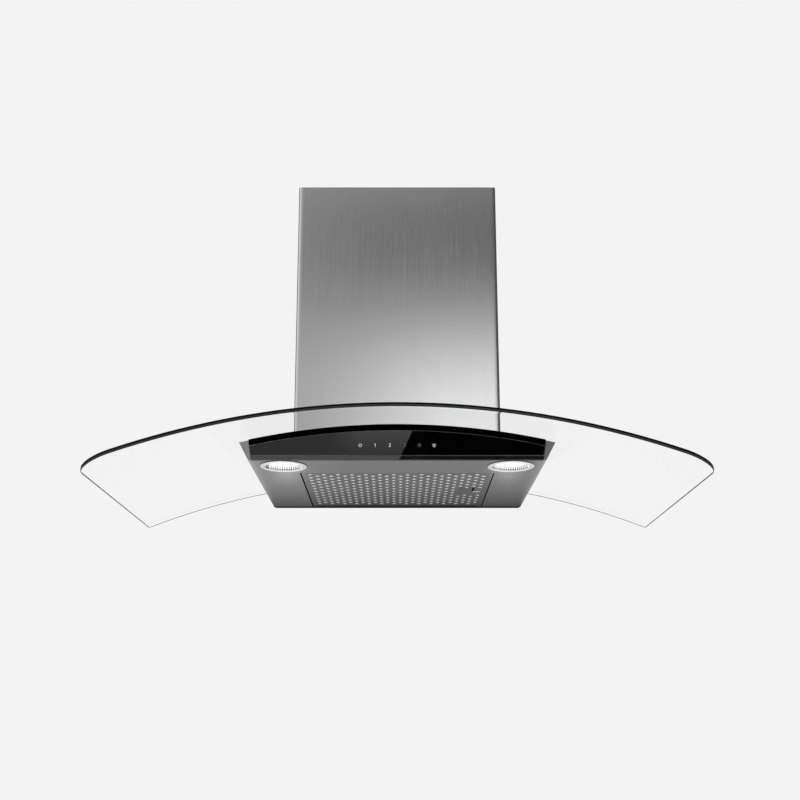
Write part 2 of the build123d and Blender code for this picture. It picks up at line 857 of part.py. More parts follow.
with BuildSketch(fan_plane) as scroll_mouth:
    with Locations(((scroll_left_x + scroll_right_x) / 2, scroll_outlet + scroll_wall / 2)):
        Rectangle(scroll_right_x - scroll_left_x, scroll_wall)

with BuildSketch(fan_plane) as scroll_inlet:
    Circle(inlet_radius)

scroll_half = scroll_inner_width / 2
for side, sign in (("left", -1), ("right", 1)):
    with BuildPart() as scroll_shell:
        extrude(scroll_outside.sketch, amount=sign * (scroll_half + scroll_wall))
        extrude(scroll_inside.sketch, amount=sign * scroll_half, mode=Mode.SUBTRACT)
        extrude(scroll_mouth.sketch, amount=sign * scroll_half, mode=Mode.SUBTRACT)
        extrude(scroll_inlet.sketch, amount=sign * (scroll_half + scroll_wall),
                mode=Mode.SUBTRACT)
    finish(scroll_shell.part, f"scroll_{side}")


def on_circle(radius, angle):
    """Point at a radius and an angle in degrees."""
    return (radius * cos(radians(angle)), radius * sin(radians(angle)))


blade_mid_radius = (blade_inner_radius + wheel_radius - 1.0) / 2
with BuildSketch(fan_plane) as blade:
    with BuildLine():
        ThreePointArc(
            on_circle(blade_inner_radius, 0),
            on_circle(blade_mid_radius, blade_sweep / 4),
            on_circle(wheel_radius - 1.0, blade_sweep),
        )
        Line(
            on_circle(wheel_radius - 1.0, blade_sweep),
            on_circle(wheel_radius - 1.0, blade_sweep + blade_angle),
        )
        ThreePointArc(
            on_circle(wheel_radius - 1.0, blade_sweep + blade_angle),
            on_circle(blade_mid_radius, blade_sweep / 4 + blade_angle),
            on_circle(blade_inner_radius, blade_angle),
        )
        Line(on_circle(blade_inner_radius, blade_angle), on_circle(blade_inner_radius, 0))
    make_face()

# forward-curved wheel with a middle disc, open to both sides
with BuildPart() as impeller:
    with BuildSketch(fan_plane.offset(-wheel_width / 2)):
        with PolarLocations(0, blade_count):
            add(blade.sketch_local)
    extrude(amount=wheel_width)
    for ring_start in (-wheel_width / 2, wheel_width / 2 - wheel_ring):
        with BuildSketch(fan_plane.offset(ring_start)):
            Circle(wheel_radius)
            Circle(blade_inner_radius - 1.0, mode=Mode.SUBTRACT)
        extrude(amount=wheel_ring)
    with BuildSketch(fan_plane):
        Circle(wheel_radius)
    extrude(amount=wheel_disc / 2, both=True)
    with BuildSketch(fan_plane.offset(-hub_length + wheel_disc * 2)):
        Circle(hub_radius)
    extrude(amount=hub_length)
    with BuildSketch(fan_plane):
        Circle(shaft_radius)
    extrude(amount=hub_length, both=True, mode=Mode.SUBTRACT)
finish(impeller.part, "impeller")

motor_end = scroll_half + scroll_wall
shaft_start = -hub_length + wheel_disc * 2
with BuildPart() as fan_shaft:
    with BuildSketch(fan_plane.offset(shaft_start)):
        Circle(shaft_radius)
    extrude(amount=motor_end - shaft_start)
finish(fan_shaft.part, "fan_shaft")

with BuildPart() as motor:
    with BuildSketch(fan_plane.offset(motor_start)):
        Circle(motor_cap_radius)
    extrude(amount=motor_end - motor_start)
    with BuildSketch(fan_plane.offset(motor_start + motor_cap_height)):
        Circle(motor_radius)
    extrude(amount=motor_end - motor_start - 2 * motor_cap_height)
    with BuildSketch(fan_plane):
        Circle(shaft_radius + shaft_running_gap)
    extrude(amount=motor_end, mode=Mode.SUBTRACT)
finish(motor.part, "motor")

arm_overlap = 10.0             # of an arm into the bracket's ring
arm_run = bracket_arm_reach - bracket_ring_radius + arm_overlap
arm_middle = bracket_arm_reach - arm_run / 2
with BuildPart() as motor_bracket:
    with BuildSketch(fan_plane.offset(motor_end)):
        Circle(bracket_ring_radius)
        with PolarLocations(arm_middle, bracket_arms, 90):
            Rectangle(arm_run, bracket_arm_width)
        Circle(hub_radius, mode=Mode.SUBTRACT)
    extrude(amount=bracket_thickness)
finish(motor_bracket.part, "motor_bracket")

# ---------------------------------------------------------------- outlet

scroll_top = fan_height + scroll_outlet + scroll_wall
scroll_mid_depth = fan_depth - (scroll_left_x + scroll_right_x) / 2
duct_flange_bottom = housing_top - sheet - spigot_flange

# transition from the scroll's oblong mouth to the round outlet
with BuildPart() as outlet_duct:
    with BuildSketch(Plane.XY.offset(up(scroll_top))) as duct_mouth:
        with Locations((0, -scroll_mid_depth)):
            RectangleRounded(
                scroll_inner_width + 2 * scroll_wall,
                scroll_right_x - scroll_left_x + 2 * scroll_wall,
                scroll_wall + 2.0,
            )
    with BuildSketch(Plane.XY.offset(up(duct_flange_bottom))) as duct_round:
        with Locations((0, -spigot_depth)):
            Circle(spigot_bore + scroll_wall)
    loft([duct_mouth.sketch, duct_round.sketch])
    with BuildSketch(Plane.XY.offset(up(duct_flange_bottom))):
        with Locations((0, -spigot_depth)):
            Circle(spigot_flange_radius - 5.0)
    extrude(amount=spigot_flange)
    with BuildSketch(Plane.XY.offset(up(scroll_top))) as duct_mouth_bore:
        with Locations((0, -scroll_mid_depth)):
            RectangleRounded(scroll_inner_width, scroll_right_x - scroll_left_x, 2.0)
    with BuildSketch(Plane.XY.offset(up(duct_flange_bottom))) as duct_round_bore:
        with Locations((0, -spigot_depth)):
            Circle(spigot_bore - duct_top_gap)
    loft([duct_mouth_bore.sketch, duct_round_bore.sketch], mode=Mode.SUBTRACT)
    extrude(duct_round_bore.sketch, amount=spigot_flange, mode=Mode.SUBTRACT)
finish(outlet_duct.part, "outlet_duct")

pin_plane = Plane(
    origin=(0, -spigot_depth, up(leaf_axis_height)), x_dir=(0, 1, 0), z_dir=(1, 0, 0)
)
stop_top = leaf_axis_height - leaf_thickness / 2 - leaf_rest_gap

with BuildPart() as outlet_spigot:
    with BuildSketch(Plane.XY.offset(up(housing_top))):
        with Locations((0, -spigot_depth)):
            Circle(spigot_flange_radius)
    extrude(amount=spigot_flange)
    with BuildSketch(Plane.XY.offset(up(housing_top))):
        with Locations((0, -spigot_depth)):
            Circle(spigot_radius)
    extrude(amount=spigot_height)
    with BuildSketch(Plane.XY.offset(up(housing_top))):
        with Locations((0, -spigot_depth)):
            Circle(spigot_bore)
    extrude(amount=spigot_height, mode=Mode.SUBTRACT)
    # ledge that the closed leaves rest over
    with BuildSketch(Plane.XY.offset(up(stop_top))):
        with Locations((0, -spigot_depth)):
            Circle(spigot_bore)
            Circle(spigot_bore - leaf_stop_width, mode=Mode.SUBTRACT)
    extrude(amount=-leaf_stop_thickness)
    with BuildSketch(pin_plane):
        Circle(pin_radius)
    extrude(amount=spigot_radius, both=True, mode=Mode.SUBTRACT)
finish(outlet_spigot.part, "outlet_spigot")

with BuildPart() as damper_pin:
    with BuildSketch(pin_plane):
        Circle(pin_radius)
    extrude(amount=spigot_radius, both=True)
finish(damper_pin.part, "damper_pin")

# two half-round leaves on one pin, with knuckles that alternate along it
leaf_plane = Plane(origin=(0, -spigot_depth, up(leaf_axis_height)))
for side, sign, first in (("front", -1, -1.5), ("rear", 1, -0.5)):
    knuckle_places = [(first + 2 * step) * knuckle_pitch for step in range(2)]
    with BuildPart() as damper_leaf:
        with BuildSketch(leaf_plane):
            Circle(leaf_radius)
            with Locations((0, -sign * (leaf_radius - leaf_edge))):
                Rectangle(2 * leaf_radius, 2 * leaf_radius, mode=Mode.SUBTRACT)
            with Locations(*[(x, sign * leaf_edge / 2) for x in knuckle_places]):
                Rectangle(knuckle_length, leaf_edge + 0.5)
        extrude(amount=leaf_thickness / 2, both=True)
        for x in knuckle_places:
            with BuildSketch(pin_plane.offset(x)):
                Circle(knuckle_radius)
            extrude(amount=knuckle_length / 2, both=True)
        with BuildSketch(pin_plane):
            Circle(pin_radius + pin_running_gap)
        extrude(amount=leaf_radius, both=True, mode=Mode.SUBTRACT)
    finish(damper_leaf.part, f"damper_{side}")

# ---------------------------------------------------------------- chimney


def cover_profile(width, depth, back, wall, corner, flange):
    """U-shaped plan section of a chimney cover, open to the wall between its flanges."""
    with BuildSketch(Plane.XY) as profile:
        with Locations((0, -(depth + back) / 2)):
            Rectangle(width, depth - back)
        fillet(profile.vertices().group_by(Axis.Y)[0], radius=corner)
        with BuildSketch(Plane.XY, mode=Mode.SUBTRACT) as inside:
            with Locations((0, -(depth + back) / 2)):
                Rectangle(width - 2 * wall, depth - back - 2 * wall)
            fillet(inside.vertices().group_by(Axis.Y)[0], radius=corner - wall)
        with Locations((0, -back - wall / 2)):
            Rectangle(width - 2 * wall - 2 * flange, wall, mode=Mode.SUBTRACT)
    return profile.sketch


lower_profile = cover_profile(
    chimney_width, chimney_depth, 0, chimney_sheet, chimney_corner, chimney_flange
)
with BuildPart() as chimney_lower:
    extrude(lower_profile.moved(Location((0, 0, up(0)))), amount=chimney_height)
    extrude(
        arched_band(everything_wide, glass_top_radius, glass_top_radius + chimney_height),
        amount=everything_deep,
        mode=Mode.INTERSECT,
    )
finish(chimney_lower.part, "chimney_lower")

upper_offset = chimney_sheet + upper_gap
upper_width = chimney_width - 2 * upper_offset
upper_depth = chimney_depth - upper_offset
upper_top = chimney_height - upper_top_drop
vent_plane = Plane(
    origin=(0, -(upper_depth + upper_offset) / 2, up(upper_top - vent_drop)),
    x_dir=(0, 1, 0),
    z_dir=(1, 0, 0),
)
upper_profile = cover_profile(
    upper_width, upper_depth, upper_offset, upper_sheet, chimney_corner, upper_flange
)
with BuildPart() as chimney_upper:
    extrude(upper_profile.moved(Location((0, 0, up(upper_bottom)))),
            amount=upper_top - upper_bottom)
    with BuildSketch(vent_plane):
        with GridLocations(vent_pitch, 0, vent_count, 1):
            SlotOverall(vent_length, vent_width, rotation=90)
    extrude(amount=upper_width / 2, both=True, mode=Mode.SUBTRACT)
finish(chimney_upper.part, "chimney_upper")

bracket_back = upper_offset + upper_sheet
upper_inner = upper_width / 2 - upper_sheet
bracket_top = upper_top - ceiling_bracket_drop
thin = ceiling_bracket_sheet
with BuildPart() as ceiling_bracket:
    with BuildSketch(Plane.XY.offset(up(bracket_top))):
        with Locations((0, -thin / 2)):
            Rectangle(2 * ceiling_bracket_middle, thin)
        for sign in (-1, 1):
            step_x = sign * (ceiling_bracket_middle - thin / 2)
            wing_x = sign * (ceiling_bracket_middle - thin + upper_inner) / 2
            ear_x = sign * (upper_inner - thin / 2)
            with Locations((step_x, -(bracket_back + thin) / 2)):
                Rectangle(thin, bracket_back + thin)
            with Locations((wing_x, -bracket_back - thin / 2)):
                Rectangle(upper_inner - ceiling_bracket_middle + thin, thin)
            with Locations((ear_x, -bracket_back - ceiling_ear / 2)):
                Rectangle(thin, ceiling_ear)
    extrude(amount=-ceiling_bracket_height)
    with BuildSketch(Plane.XZ):
        with Locations((0, up(bracket_top - ceiling_bracket_height / 2))):
            with GridLocations(ceiling_bolt_spacing, 0, 2, 1):
                Circle(ceiling_bolt_hole)
    extrude(amount=thin, mode=Mode.SUBTRACT)
finish(ceiling_bracket.part, "ceiling_bracket")

# angles that carry the lower cover on the motor housing
lower_inner = chimney_width / 2 - chimney_sheet
housing_side = housing_width / 2
leg_middle = up(deck_height + side_bracket_height / 2)
web_middle = up(deck_height + side_bracket_sheet / 2)
with BuildPart() as side_brackets:
    for sign in (-1, 1):
        inner_leg_x = sign * (housing_side + side_bracket_sheet / 2)
        outer_leg_x = sign * (lower_inner - side_bracket_sheet / 2)
        with BuildSketch(Plane.XZ.offset(air_centre - side_bracket_length / 2)):
            with Locations((inner_leg_x, leg_middle), (outer_leg_x, leg_middle)):
                Rectangle(side_bracket_sheet, side_bracket_height)
            with Locations((sign * (housing_side + lower_inner) / 2, web_middle)):
                Rectangle(lower_inner - housing_side, side_bracket_sheet)
        extrude(amount=side_bracket_length)
finish(side_brackets.part, "side_brackets")

# ---------------------------------------------------------------- electrics

inner_front_plane = front_plane.offset(-fascia_thickness - sheet)
tray_centre = (0, tray_centre_height / cos(front_lean))

with BuildPart() as control_tray:
    with BuildSketch(inner_front_plane):
        with Locations(tray_centre):
            Rectangle(tray_width, tray_height)
    extrude(amount=-tray_depth)
    with BuildSketch(inner_front_plane):
        with Locations(tray_centre):
            Rectangle(tray_width - 2 * tray_wall, tray_height - 2 * tray_wall)
    extrude(amount=-(tray_depth - tray_wall), mode=Mode.SUBTRACT)
finish(control_tray.part, "control_tray")

with BuildPart() as control_board:
    with BuildSketch(inner_front_plane.offset(-(tray_depth - tray_wall))):
        with Locations(tray_centre):
            Rectangle(
                tray_width - 2 * tray_wall - 2 * board_gap,
                tray_height - 2 * tray_wall - 2 * board_gap,
            )
    extrude(amount=board_thickness)
finish(control_board.part, "control_board")

with BuildPart() as led_driver:
    with BuildSketch(Plane.XY.offset(up(sheet))):
        with Locations((0, -driver_depth)):
            RectangleRounded(driver_width, driver_length, driver_corner)
    extrude(amount=driver_height)
finish(led_driver.part, "led_driver")

with BuildPart() as terminal_box:
    with BuildSketch(Plane.XY.offset(up(housing_top - sheet - terminal_height))):
        with Locations(
            (
                housing_width / 2 - sheet - terminal_width / 2,
                -(housing_depth - 2 * sheet - terminal_front_gap - terminal_length / 2),
            )
        ):
            Rectangle(terminal_width, terminal_length)
    extrude(amount=terminal_height)
finish(terminal_box.part, "terminal_box")

with BuildPart() as capacitor:
    with BuildSketch(Plane.XY.offset(up(housing_top - sheet))):
        with Locations(
            (
                -(housing_width / 2 - sheet - capacitor_radius - capacitor_side_gap),
                -(housing_depth - 2 * sheet - capacitor_front_gap - capacitor_radius),
            )
        ):
            Circle(capacitor_radius)
    extrude(amount=-capacitor_length)
finish(capacitor.part, "capacitor")

# grommet that the mains cable enters through
with BuildPart() as cable_grommet:
    with BuildSketch(Plane.XY.offset(up(housing_top - sheet))):
        with Locations((grommet_x, -grommet_depth)):
            Circle(grommet_radius)
    extrude(amount=sheet)
    for flange_start, rise in (
        (housing_top, grommet_lip), (housing_top - sheet, -grommet_lip),
    ):
        with BuildSketch(Plane.XY.offset(up(flange_start))):
            with Locations((grommet_x, -grommet_depth)):
                Circle(grommet_flange)
        extrude(amount=rise)
    with BuildSketch(Plane.XY.offset(up(housing_top - sheet - grommet_lip))):
        with Locations((grommet_x, -grommet_depth)):
            Circle(grommet_bore)
    extrude(amount=sheet + 2 * grommet_lip, mode=Mode.SUBTRACT)
finish(cable_grommet.part, "cable_grommet")
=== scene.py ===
"""Looks of a curved glass wall hood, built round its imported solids.

All lengths are metres. +Z is up, the wall is the plane Y = 0 and the front faces -Y.
"""

import logging
import math
from collections.abc import Callable
from dataclasses import dataclass, field
from enum import Enum

import bmesh
import bpy
import numpy as np
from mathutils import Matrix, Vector
from mathutils.geometry import delaunay_2d_cdt


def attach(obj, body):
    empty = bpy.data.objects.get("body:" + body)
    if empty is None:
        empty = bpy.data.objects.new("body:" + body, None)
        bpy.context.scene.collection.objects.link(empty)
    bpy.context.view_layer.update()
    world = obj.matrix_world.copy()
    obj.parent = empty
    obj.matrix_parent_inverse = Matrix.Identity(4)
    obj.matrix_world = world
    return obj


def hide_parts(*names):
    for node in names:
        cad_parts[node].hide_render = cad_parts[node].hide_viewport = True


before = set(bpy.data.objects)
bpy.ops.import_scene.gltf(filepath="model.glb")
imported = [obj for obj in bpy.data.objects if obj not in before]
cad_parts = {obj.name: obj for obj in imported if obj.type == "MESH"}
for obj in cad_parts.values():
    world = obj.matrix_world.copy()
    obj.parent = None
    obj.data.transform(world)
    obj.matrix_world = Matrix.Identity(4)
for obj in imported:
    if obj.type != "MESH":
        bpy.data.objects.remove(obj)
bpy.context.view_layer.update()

log = logging.getLogger("hood")

UNDERSIDE = -0.250             # height of the body's underside in the frame
ROOT = "root"
FILTER_BODY = "grease_filter"
COVER_BODY = "upper_cover"

BEND_RADIUS = 1.207            # pane's lower face
BEND_AXIS_Z = UNDERSIDE + 0.0484 - BEND_RADIUS
PANE = 0.006
BODY_DEPTH = 0.376
FRONT_LEAN = math.radians(30.05)

SHARP = 32.0                   # degrees from which an edge is drawn sharp and rounded
FOLD_SHARP = 28.0              # the same for folded sheet
FLAT = 0.6                     # degrees up to which neighbouring triangles are one flat face
WELD = 2e-6                    # points closer than this are one
ON_AXIS = 1e-5                 # radius at which a turned profile counts as closed
LEAST_CORNER = 0.0003          # radius that a corner drawn in by an inset keeps

Line = Callable[[np.ndarray], np.ndarray]
Stops = tuple[tuple[float, float], ...]


# ---------------------------------------------------------------- surfaces


@dataclass
class Surface:
    """One patch of a piece: its points, its faces and the material slot they take."""

    points: np.ndarray
    faces: list[np.ndarray]
    slot: int = 0


def grid_faces(rows: int, columns: int, round_rows: bool = False,
               round_columns: bool = False) -> np.ndarray:
    """Quads of a grid of points stored row by row.

    Args:
        rows: number of rows of points.
        columns: number of points in a row.
        round_rows: whether the last row joins the first.
        round_columns: whether the last point of a row joins its first.

    Returns:
        Array of quads, one row of four indices each.
    """
    row = np.arange(rows if round_rows else rows - 1)
    column = np.arange(columns if round_columns else columns - 1)
    r, c = np.meshgrid(row, column, indexing="ij")
    r2, c2 = (r + 1) % rows, (c + 1) % columns
    return np.stack(
        [r * columns + c, r * columns + c2, r2 * columns + c2, r2 * columns + c], -1
    ).reshape(-1, 4)


def grid_surface(points: np.ndarray, round_rows: bool = False, round_columns: bool = False,
                 slot: int = 0) -> Surface:
    """Surface through an array of points of shape (rows, columns, 3).

    Args:
        points: the grid.
        round_rows: whether the last row joins the first.
        round_columns: whether a row's last point joins its first.
        slot: material slot.

    Returns:
        The surface.
    """
    rows, columns = points.shape[:2]
    faces = grid_faces(rows, columns, round_rows, round_columns)
    return Surface(points.reshape(-1, 3), [faces], slot)


def slab(front: np.ndarray, back: np.ndarray) -> list[Surface]:
    """Closed plate between two grids of the same shape.

    The two grids are its faces, and a strip joins their borders point by point.

    Args:
        front: points of one face, of shape (rows, columns, 3).
        back: points of the other face.

    Returns:
        The two faces and the strip.
    """
    edge = np.concatenate([
        np.stack([front[0], back[0]]), np.stack([front[1:, -1], back[1:, -1]]),
        np.stack([front[-1, -2::-1], back[-1, -2::-1]]),
        np.stack([front[-2:0:-1, 0], back[-2:0:-1, 0]]),
    ], axis=1)
    return [grid_surface(front), grid_surface(back), grid_surface(edge, round_columns=True)]


def turned(profile: np.ndarray, centre: tuple[float, float, float], steps: int = 72,
           slot: int = 0) -> Surface:
    """Surface of a profile turned about the upright axis through a centre.

    Args:
        profile: rows of (radius, height), carried round a full circle.
        centre: point on the axis that heights are measured from.
        steps: points round the circle.
        slot: material slot.

    Returns:
        The closed ring of quads.
    """
    angle = np.linspace(0, 2 * math.pi, steps, endpoint=False)
    radius, height = profile[:, :1], profile[:, 1:]
    points = np.stack([
        centre[0] + radius * np.cos(angle), centre[1] + radius * np.sin(angle),
        centre[2] + height + 0 * angle,
    ], -1)
    return grid_surface(points, round_columns=True, slot=slot)


def rounded_outline(low: tuple[float, float], high: tuple[float, float],
                    corners: tuple[float, float, float, float], side_steps: int = 12,
                    corner_steps: int = 8) -> np.ndarray:
    """Rectangle with round corners, walked anticlockwise from its lower left corner.

    Each corner is a quarter circle of its own radius, and each side is divided evenly.

    Args:
        low: lowest x and y.
        high: highest x and y.
        corners: radii at lower left, lower right, upper right and upper left.
        side_steps: points on a side.
        corner_steps: points on a corner.

    Returns:
        Array of shape (4 * (side_steps + corner_steps), 2).
    """
    places = np.array([low, (high[0], low[1]), high, (low[0], high[1])])
    inward = np.array([(1, 1), (-1, 1), (-1, -1), (1, -1)])
    centres = places + inward * np.array(corners)[:, None]
    turn = np.linspace(0, 1, corner_steps)[None, :] * math.pi / 2
    angle = turn + (np.arange(4)[:, None] + 2) * math.pi / 2
    arcs = centres[:, None] + np.array(corners)[:, None, None] * np.stack(
        [np.cos(angle), np.sin(angle)], -1)
    start, end = arcs[:, -1], np.roll(arcs[:, 0], -1, axis=0)
    share = (np.arange(1, side_steps + 1) / (side_steps + 1))[None, :, None]
    sides = start[:, None] * (1 - share) + end[:, None] * share
    return np.concatenate([arcs, sides], axis=1).reshape(-1, 2)


def circle(centre: tuple[float, float], radius: float, steps: int) -> np.ndarray:
    """Points evenly round a circle in the plane."""
    angle = np.linspace(0, 2 * math.pi, steps, endpoint=False)
    return np.array(centre) + radius * np.stack([np.cos(angle), np.sin(angle)], -1)


def sheet_with_holes(outline: np.ndarray, holes: list[np.ndarray]
                     ) -> tuple[np.ndarray, np.ndarray]:
    """Flat sheet inside an outline and round its holes, as triangles.

    The triangles come from a Delaunay triangulation that keeps every outline as edges.
    Those with all three corners on one hole's outline lie in that hole and are dropped.

    Args:
        outline: points of the convex outer outline.
        holes: points of each convex hole.

    Returns:
        The points in the order given, and the triangles.
    """
    rings = [outline, *holes]
    points = np.concatenate(rings)
    ring_of = np.repeat(np.arange(len(rings)), [len(r) for r in rings])
    firsts = np.cumsum([0] + [len(r) for r in rings[:-1]])
    edges = np.concatenate([
        np.stack([np.arange(len(r)), (np.arange(len(r)) + 1) % len(r)], -1) + first
        for r, first in zip(rings, firsts)
    ])
    flat, _, faces, _, _, _ = delaunay_2d_cdt(
        [Vector(p) for p in points.tolist()], edges.tolist(), [], 0, 1e-7)
    faces = np.array(faces)
    owner = ring_of[faces]
    in_hole = (owner[:, 0] == owner[:, 1]) & (owner[:, 1] == owner[:, 2]) & (owner[:, 0] > 0)
    return np.array([tuple(p) for p in flat]), faces[~in_hole]


def raised(points: np.ndarray, height: float | np.ndarray) -> np.ndarray:
    """Plane points (x, y) as space points at a height."""
    return np.concatenate([points, np.broadcast_to(
        np.asarray(height, float).reshape(-1, 1), (len(points), 1))], axis=1)


def arch_height(x: np.ndarray, radius: float) -> np.ndarray:
    """Height of the arc of that radius about the pane's bend axis, over x."""
    return BEND_AXIS_Z + np.sqrt(radius**2 - x**2)


def eased(share: np.ndarray) -> np.ndarray:
    """Smooth step: the cubic from 0 to 1 that starts and ends level."""
    return share * share * (3 - 2 * share)


def graded(place: np.ndarray, stops: Stops) -> np.ndarray:
    """Level at a place, on straight lines between (place, level) stops."""
    places, levels = zip(*stops)
    return np.interp(place, places, levels)


def box_uv(mesh: bpy.types.Mesh) -> None:
    """UV map in metres, laid along the two axes that each face spans most.

    Args:
        mesh: the mesh, which gets the map.
    """
    corners = np.empty(len(mesh.loops), int)
    mesh.loops.foreach_get("vertex_index", corners)
    points = np.empty(len(mesh.vertices) * 3)
    mesh.vertices.foreach_get("co", points)
    points = points.reshape(-1, 3)[corners]
    normals = np.empty(len(mesh.polygons) * 3)
    mesh.polygons.foreach_get("normal", normals)
    totals = np.empty(len(mesh.polygons), int)
    mesh.polygons.foreach_get("loop_total", totals)
    main = np.repeat(np.abs(normals.reshape(-1, 3)).argmax(1), totals)
    first = np.where(main == 0, 1, 0)
    second = np.where(main == 2, 1, 2)
    rows = np.arange(len(points))
    uv = np.stack([points[rows, first], points[rows, second]], -1)
    layer = mesh.uv_layers.new(name="UVMap")
    layer.data.foreach_set("uv", uv.astype(np.float32).ravel())


def make_piece(name: str, surfaces: list[Surface], finishes: list[bpy.types.Material],
               body: str, stands_for: tuple[str, ...] = (),
               sharp: float = SHARP) -> bpy.types.Object:
    """Joins patches into one piece that rides on a body.

    Args:
        name: the piece's name.
        surfaces: its patches, whose shared borders are welded.
        finishes: materials of its slots.
        body: body that it moves with.
        stands_for: solids that it replaces.
        sharp: angle in degrees from which an edge is drawn sharp.

    Returns:
        The new object.
    """
    firsts = np.cumsum([0] + [len(s.points) for s in surfaces[:-1]])
    faces, slots = [], []
    for surface, first in zip(surfaces, firsts):
        for group in surface.faces:
            faces += (group + first).tolist()
            slots += [surface.slot] * len(group)
    mesh = bpy.data.meshes.new(name)
    mesh.from_pydata(np.concatenate([s.points for s in surfaces]).tolist(), [], faces)
    mesh.polygons.foreach_set("material_index", slots)
    shell = bmesh.new()
    shell.from_mesh(mesh)
    bmesh.ops.remove_doubles(shell, verts=shell.verts, dist=WELD)
    bmesh.ops.recalc_face_normals(shell, faces=shell.faces)
    shell.to_mesh(mesh)
    shell.free()
    return place_piece(name, mesh, finishes, body, stands_for, sharp)


def place_piece(name: str, mesh: bpy.types.Mesh, finishes: list[bpy.types.Material], body: str,
                stands_for: tuple[str, ...], sharp: float) -> bpy.types.Object:
    """Puts a finished mesh into the scene, smooth between its sharp edges.

    Args:
        name: the piece's name.
        mesh: its mesh.
        finishes: materials of its slots.
        body: body that it moves with.
        stands_for: solids that it replaces.
        sharp: angle in degrees from which an edge is drawn sharp.

    Returns:
        The new object.
    """
    mesh.polygons.foreach_set("use_smooth", [True] * len(mesh.polygons))
    mesh.set_sharp_from_angle(angle=math.radians(sharp))
    box_uv(mesh)
    for finish in finishes:
        mesh.materials.append(finish)
    piece = bpy.data.objects.new(name, mesh)
    bpy.context.scene.collection.objects.link(piece)
    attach(piece, body)
    if stands_for:
        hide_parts(*stands_for)
    return piece


def bevel(piece: bpy.types.Object, width: float, slot: int = -1) -> None:
    """Rounds a piece's sharp edges, in another material slot where one is given.

    Args:
        piece: the piece.
        width: how far the rounding reaches from an edge.
        slot: material slot of the rounding, or -1 for that of the faces.
    """
    cut = piece.modifiers.new("edge", "BEVEL")
    cut.width = width
    cut.segments = 2
    cut.limit_method = "ANGLE"
    cut.angle_limit = math.radians(SHARP)
    cut.material = slot
    cut.harden_normals = True
    cut.use_clamp_overlap = True


def softened(node: str, finish: bpy.types.Material, body: str,
             width: float) -> bpy.types.Object:
    """A solid's own shape with its edges rounded, in place of the solid.

    Its triangles are copied, welded and joined into flat faces before the rounding.

    Args:
        node: the solid.
        finish: its material.
        body: body that it moves with.
        width: how far the rounding reaches from an edge.

    Returns:
        The new object.
    """
    mesh = bpy.data.meshes.new(node + "_folded")
    shell = bmesh.new()
    shell.from_mesh(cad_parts[node].data)
    bmesh.ops.remove_doubles(shell, verts=shell.verts, dist=WELD)
    bmesh.ops.dissolve_limit(shell, angle_limit=math.radians(FLAT), verts=shell.verts,
                             edges=shell.edges)
    shell.to_mesh(mesh)
    shell.free()
    piece = place_piece(node + "_folded", mesh, [finish], body, (node,),
                        FOLD_SHARP)
    bevel(piece, width)
    return piece


def face_middles(piece: bpy.types.Object, centre: tuple[float, float, float]) -> np.ndarray:
    """Middles of a piece's faces, measured from a centre."""
    return np.array([tuple(face.center) for face in piece.data.polygons]) - centre


def write_glint(piece: bpy.types.Object, glow: np.ndarray) -> None:
    """Writes how brightly each face of a piece glows."""
    layer = piece.data.attributes.new("glint", "FLOAT", "FACE")
    layer.data.foreach_set("value", glow.astype(np.float32))


# ---------------------------------------------------------------- finishes


class Wiring:
    """Adds nodes to one node tree and links them."""

    def __init__(self, tree: bpy.types.NodeTree) -> None:
        """Keeps the tree."""
        self.tree = tree

    def feed(self, node: bpy.types.Node, inputs: dict) -> None:
        """Sets a node's sockets to values, or links them to the sockets that they come from.

        Args:
            node: the node.
            inputs: socket name or number to a value or to another node's output.
        """
        for socket, value in inputs.items():
            if isinstance(value, bpy.types.NodeSocket):
                self.tree.links.new(value, node.inputs[socket])
            else:
                node.inputs[socket].default_value = value

    def add(self, kind: str, inputs: dict | None = None, **settings: object) -> bpy.types.Node:
        """A new node.

        Args:
            kind: the node's type, without its ShaderNode prefix.
            inputs: what its sockets are fed with.
            settings: the node's own properties.

        Returns:
            The node.
        """
        node = self.tree.nodes.new(kind if kind.startswith("Node") else "ShaderNode" + kind)
        for name, value in settings.items():
            setattr(node, name, value)
        self.feed(node, inputs or {})
        return node

    def effect(self, name: str, inputs: dict) -> bpy.types.bpy_prop_collection:
        """Outputs of one of the shared effects."""
        return self.add("Group", inputs, node_tree=Effects.get(name)).outputs

    def maths(self, operation: str, *values: object) -> bpy.types.NodeSocket:
        """Result of one arithmetic step."""
        return self.add("Math", dict(enumerate(values)), operation=operation).outputs[0]

    def spread(self, value: bpy.types.NodeSocket, low: float, high: float,
               new_low: float = 0.0, new_high: float = 1.0) -> bpy.types.NodeSocket:
        """A value's range laid over another one, and clamped to it."""
        node = self.add("MapRange", {0: value, 1: low, 2: high, 3: new_low, 4: new_high})
        return node.outputs[0]

    def blend(self, share: object, first: object, second: object) -> bpy.types.NodeSocket:
        """Colour between two colours."""
        node = self.add("Mix", {0: share, 6: first, 7: second}, data_type="RGBA")
        return node.outputs[2]

    def bump(self, height: bpy.types.NodeSocket, strength: float, depth: float
             ) -> bpy.types.NodeSocket:
        """Normal of a fine relief."""
        node = self.add("Bump", {"Height": height, "Strength": strength, "Distance": depth})
        return node.outputs[0]


def tint(red: float, green: float, blue: float) -> tuple[float, float, float, float]:
    """A colour with full alpha."""
    return (red, green, blue, 1.0)


def grey(level: float) -> tuple[float, float, float, float]:
    """A neutral colour."""
    return tint(level, level, level)


def shade(colour: tuple[float, float, float], share: float) -> tuple[float, float, float, float]:
    """A colour made lighter or darker by a share, with full alpha."""
    return tint(*(min(1.0, c * share) for c in colour))


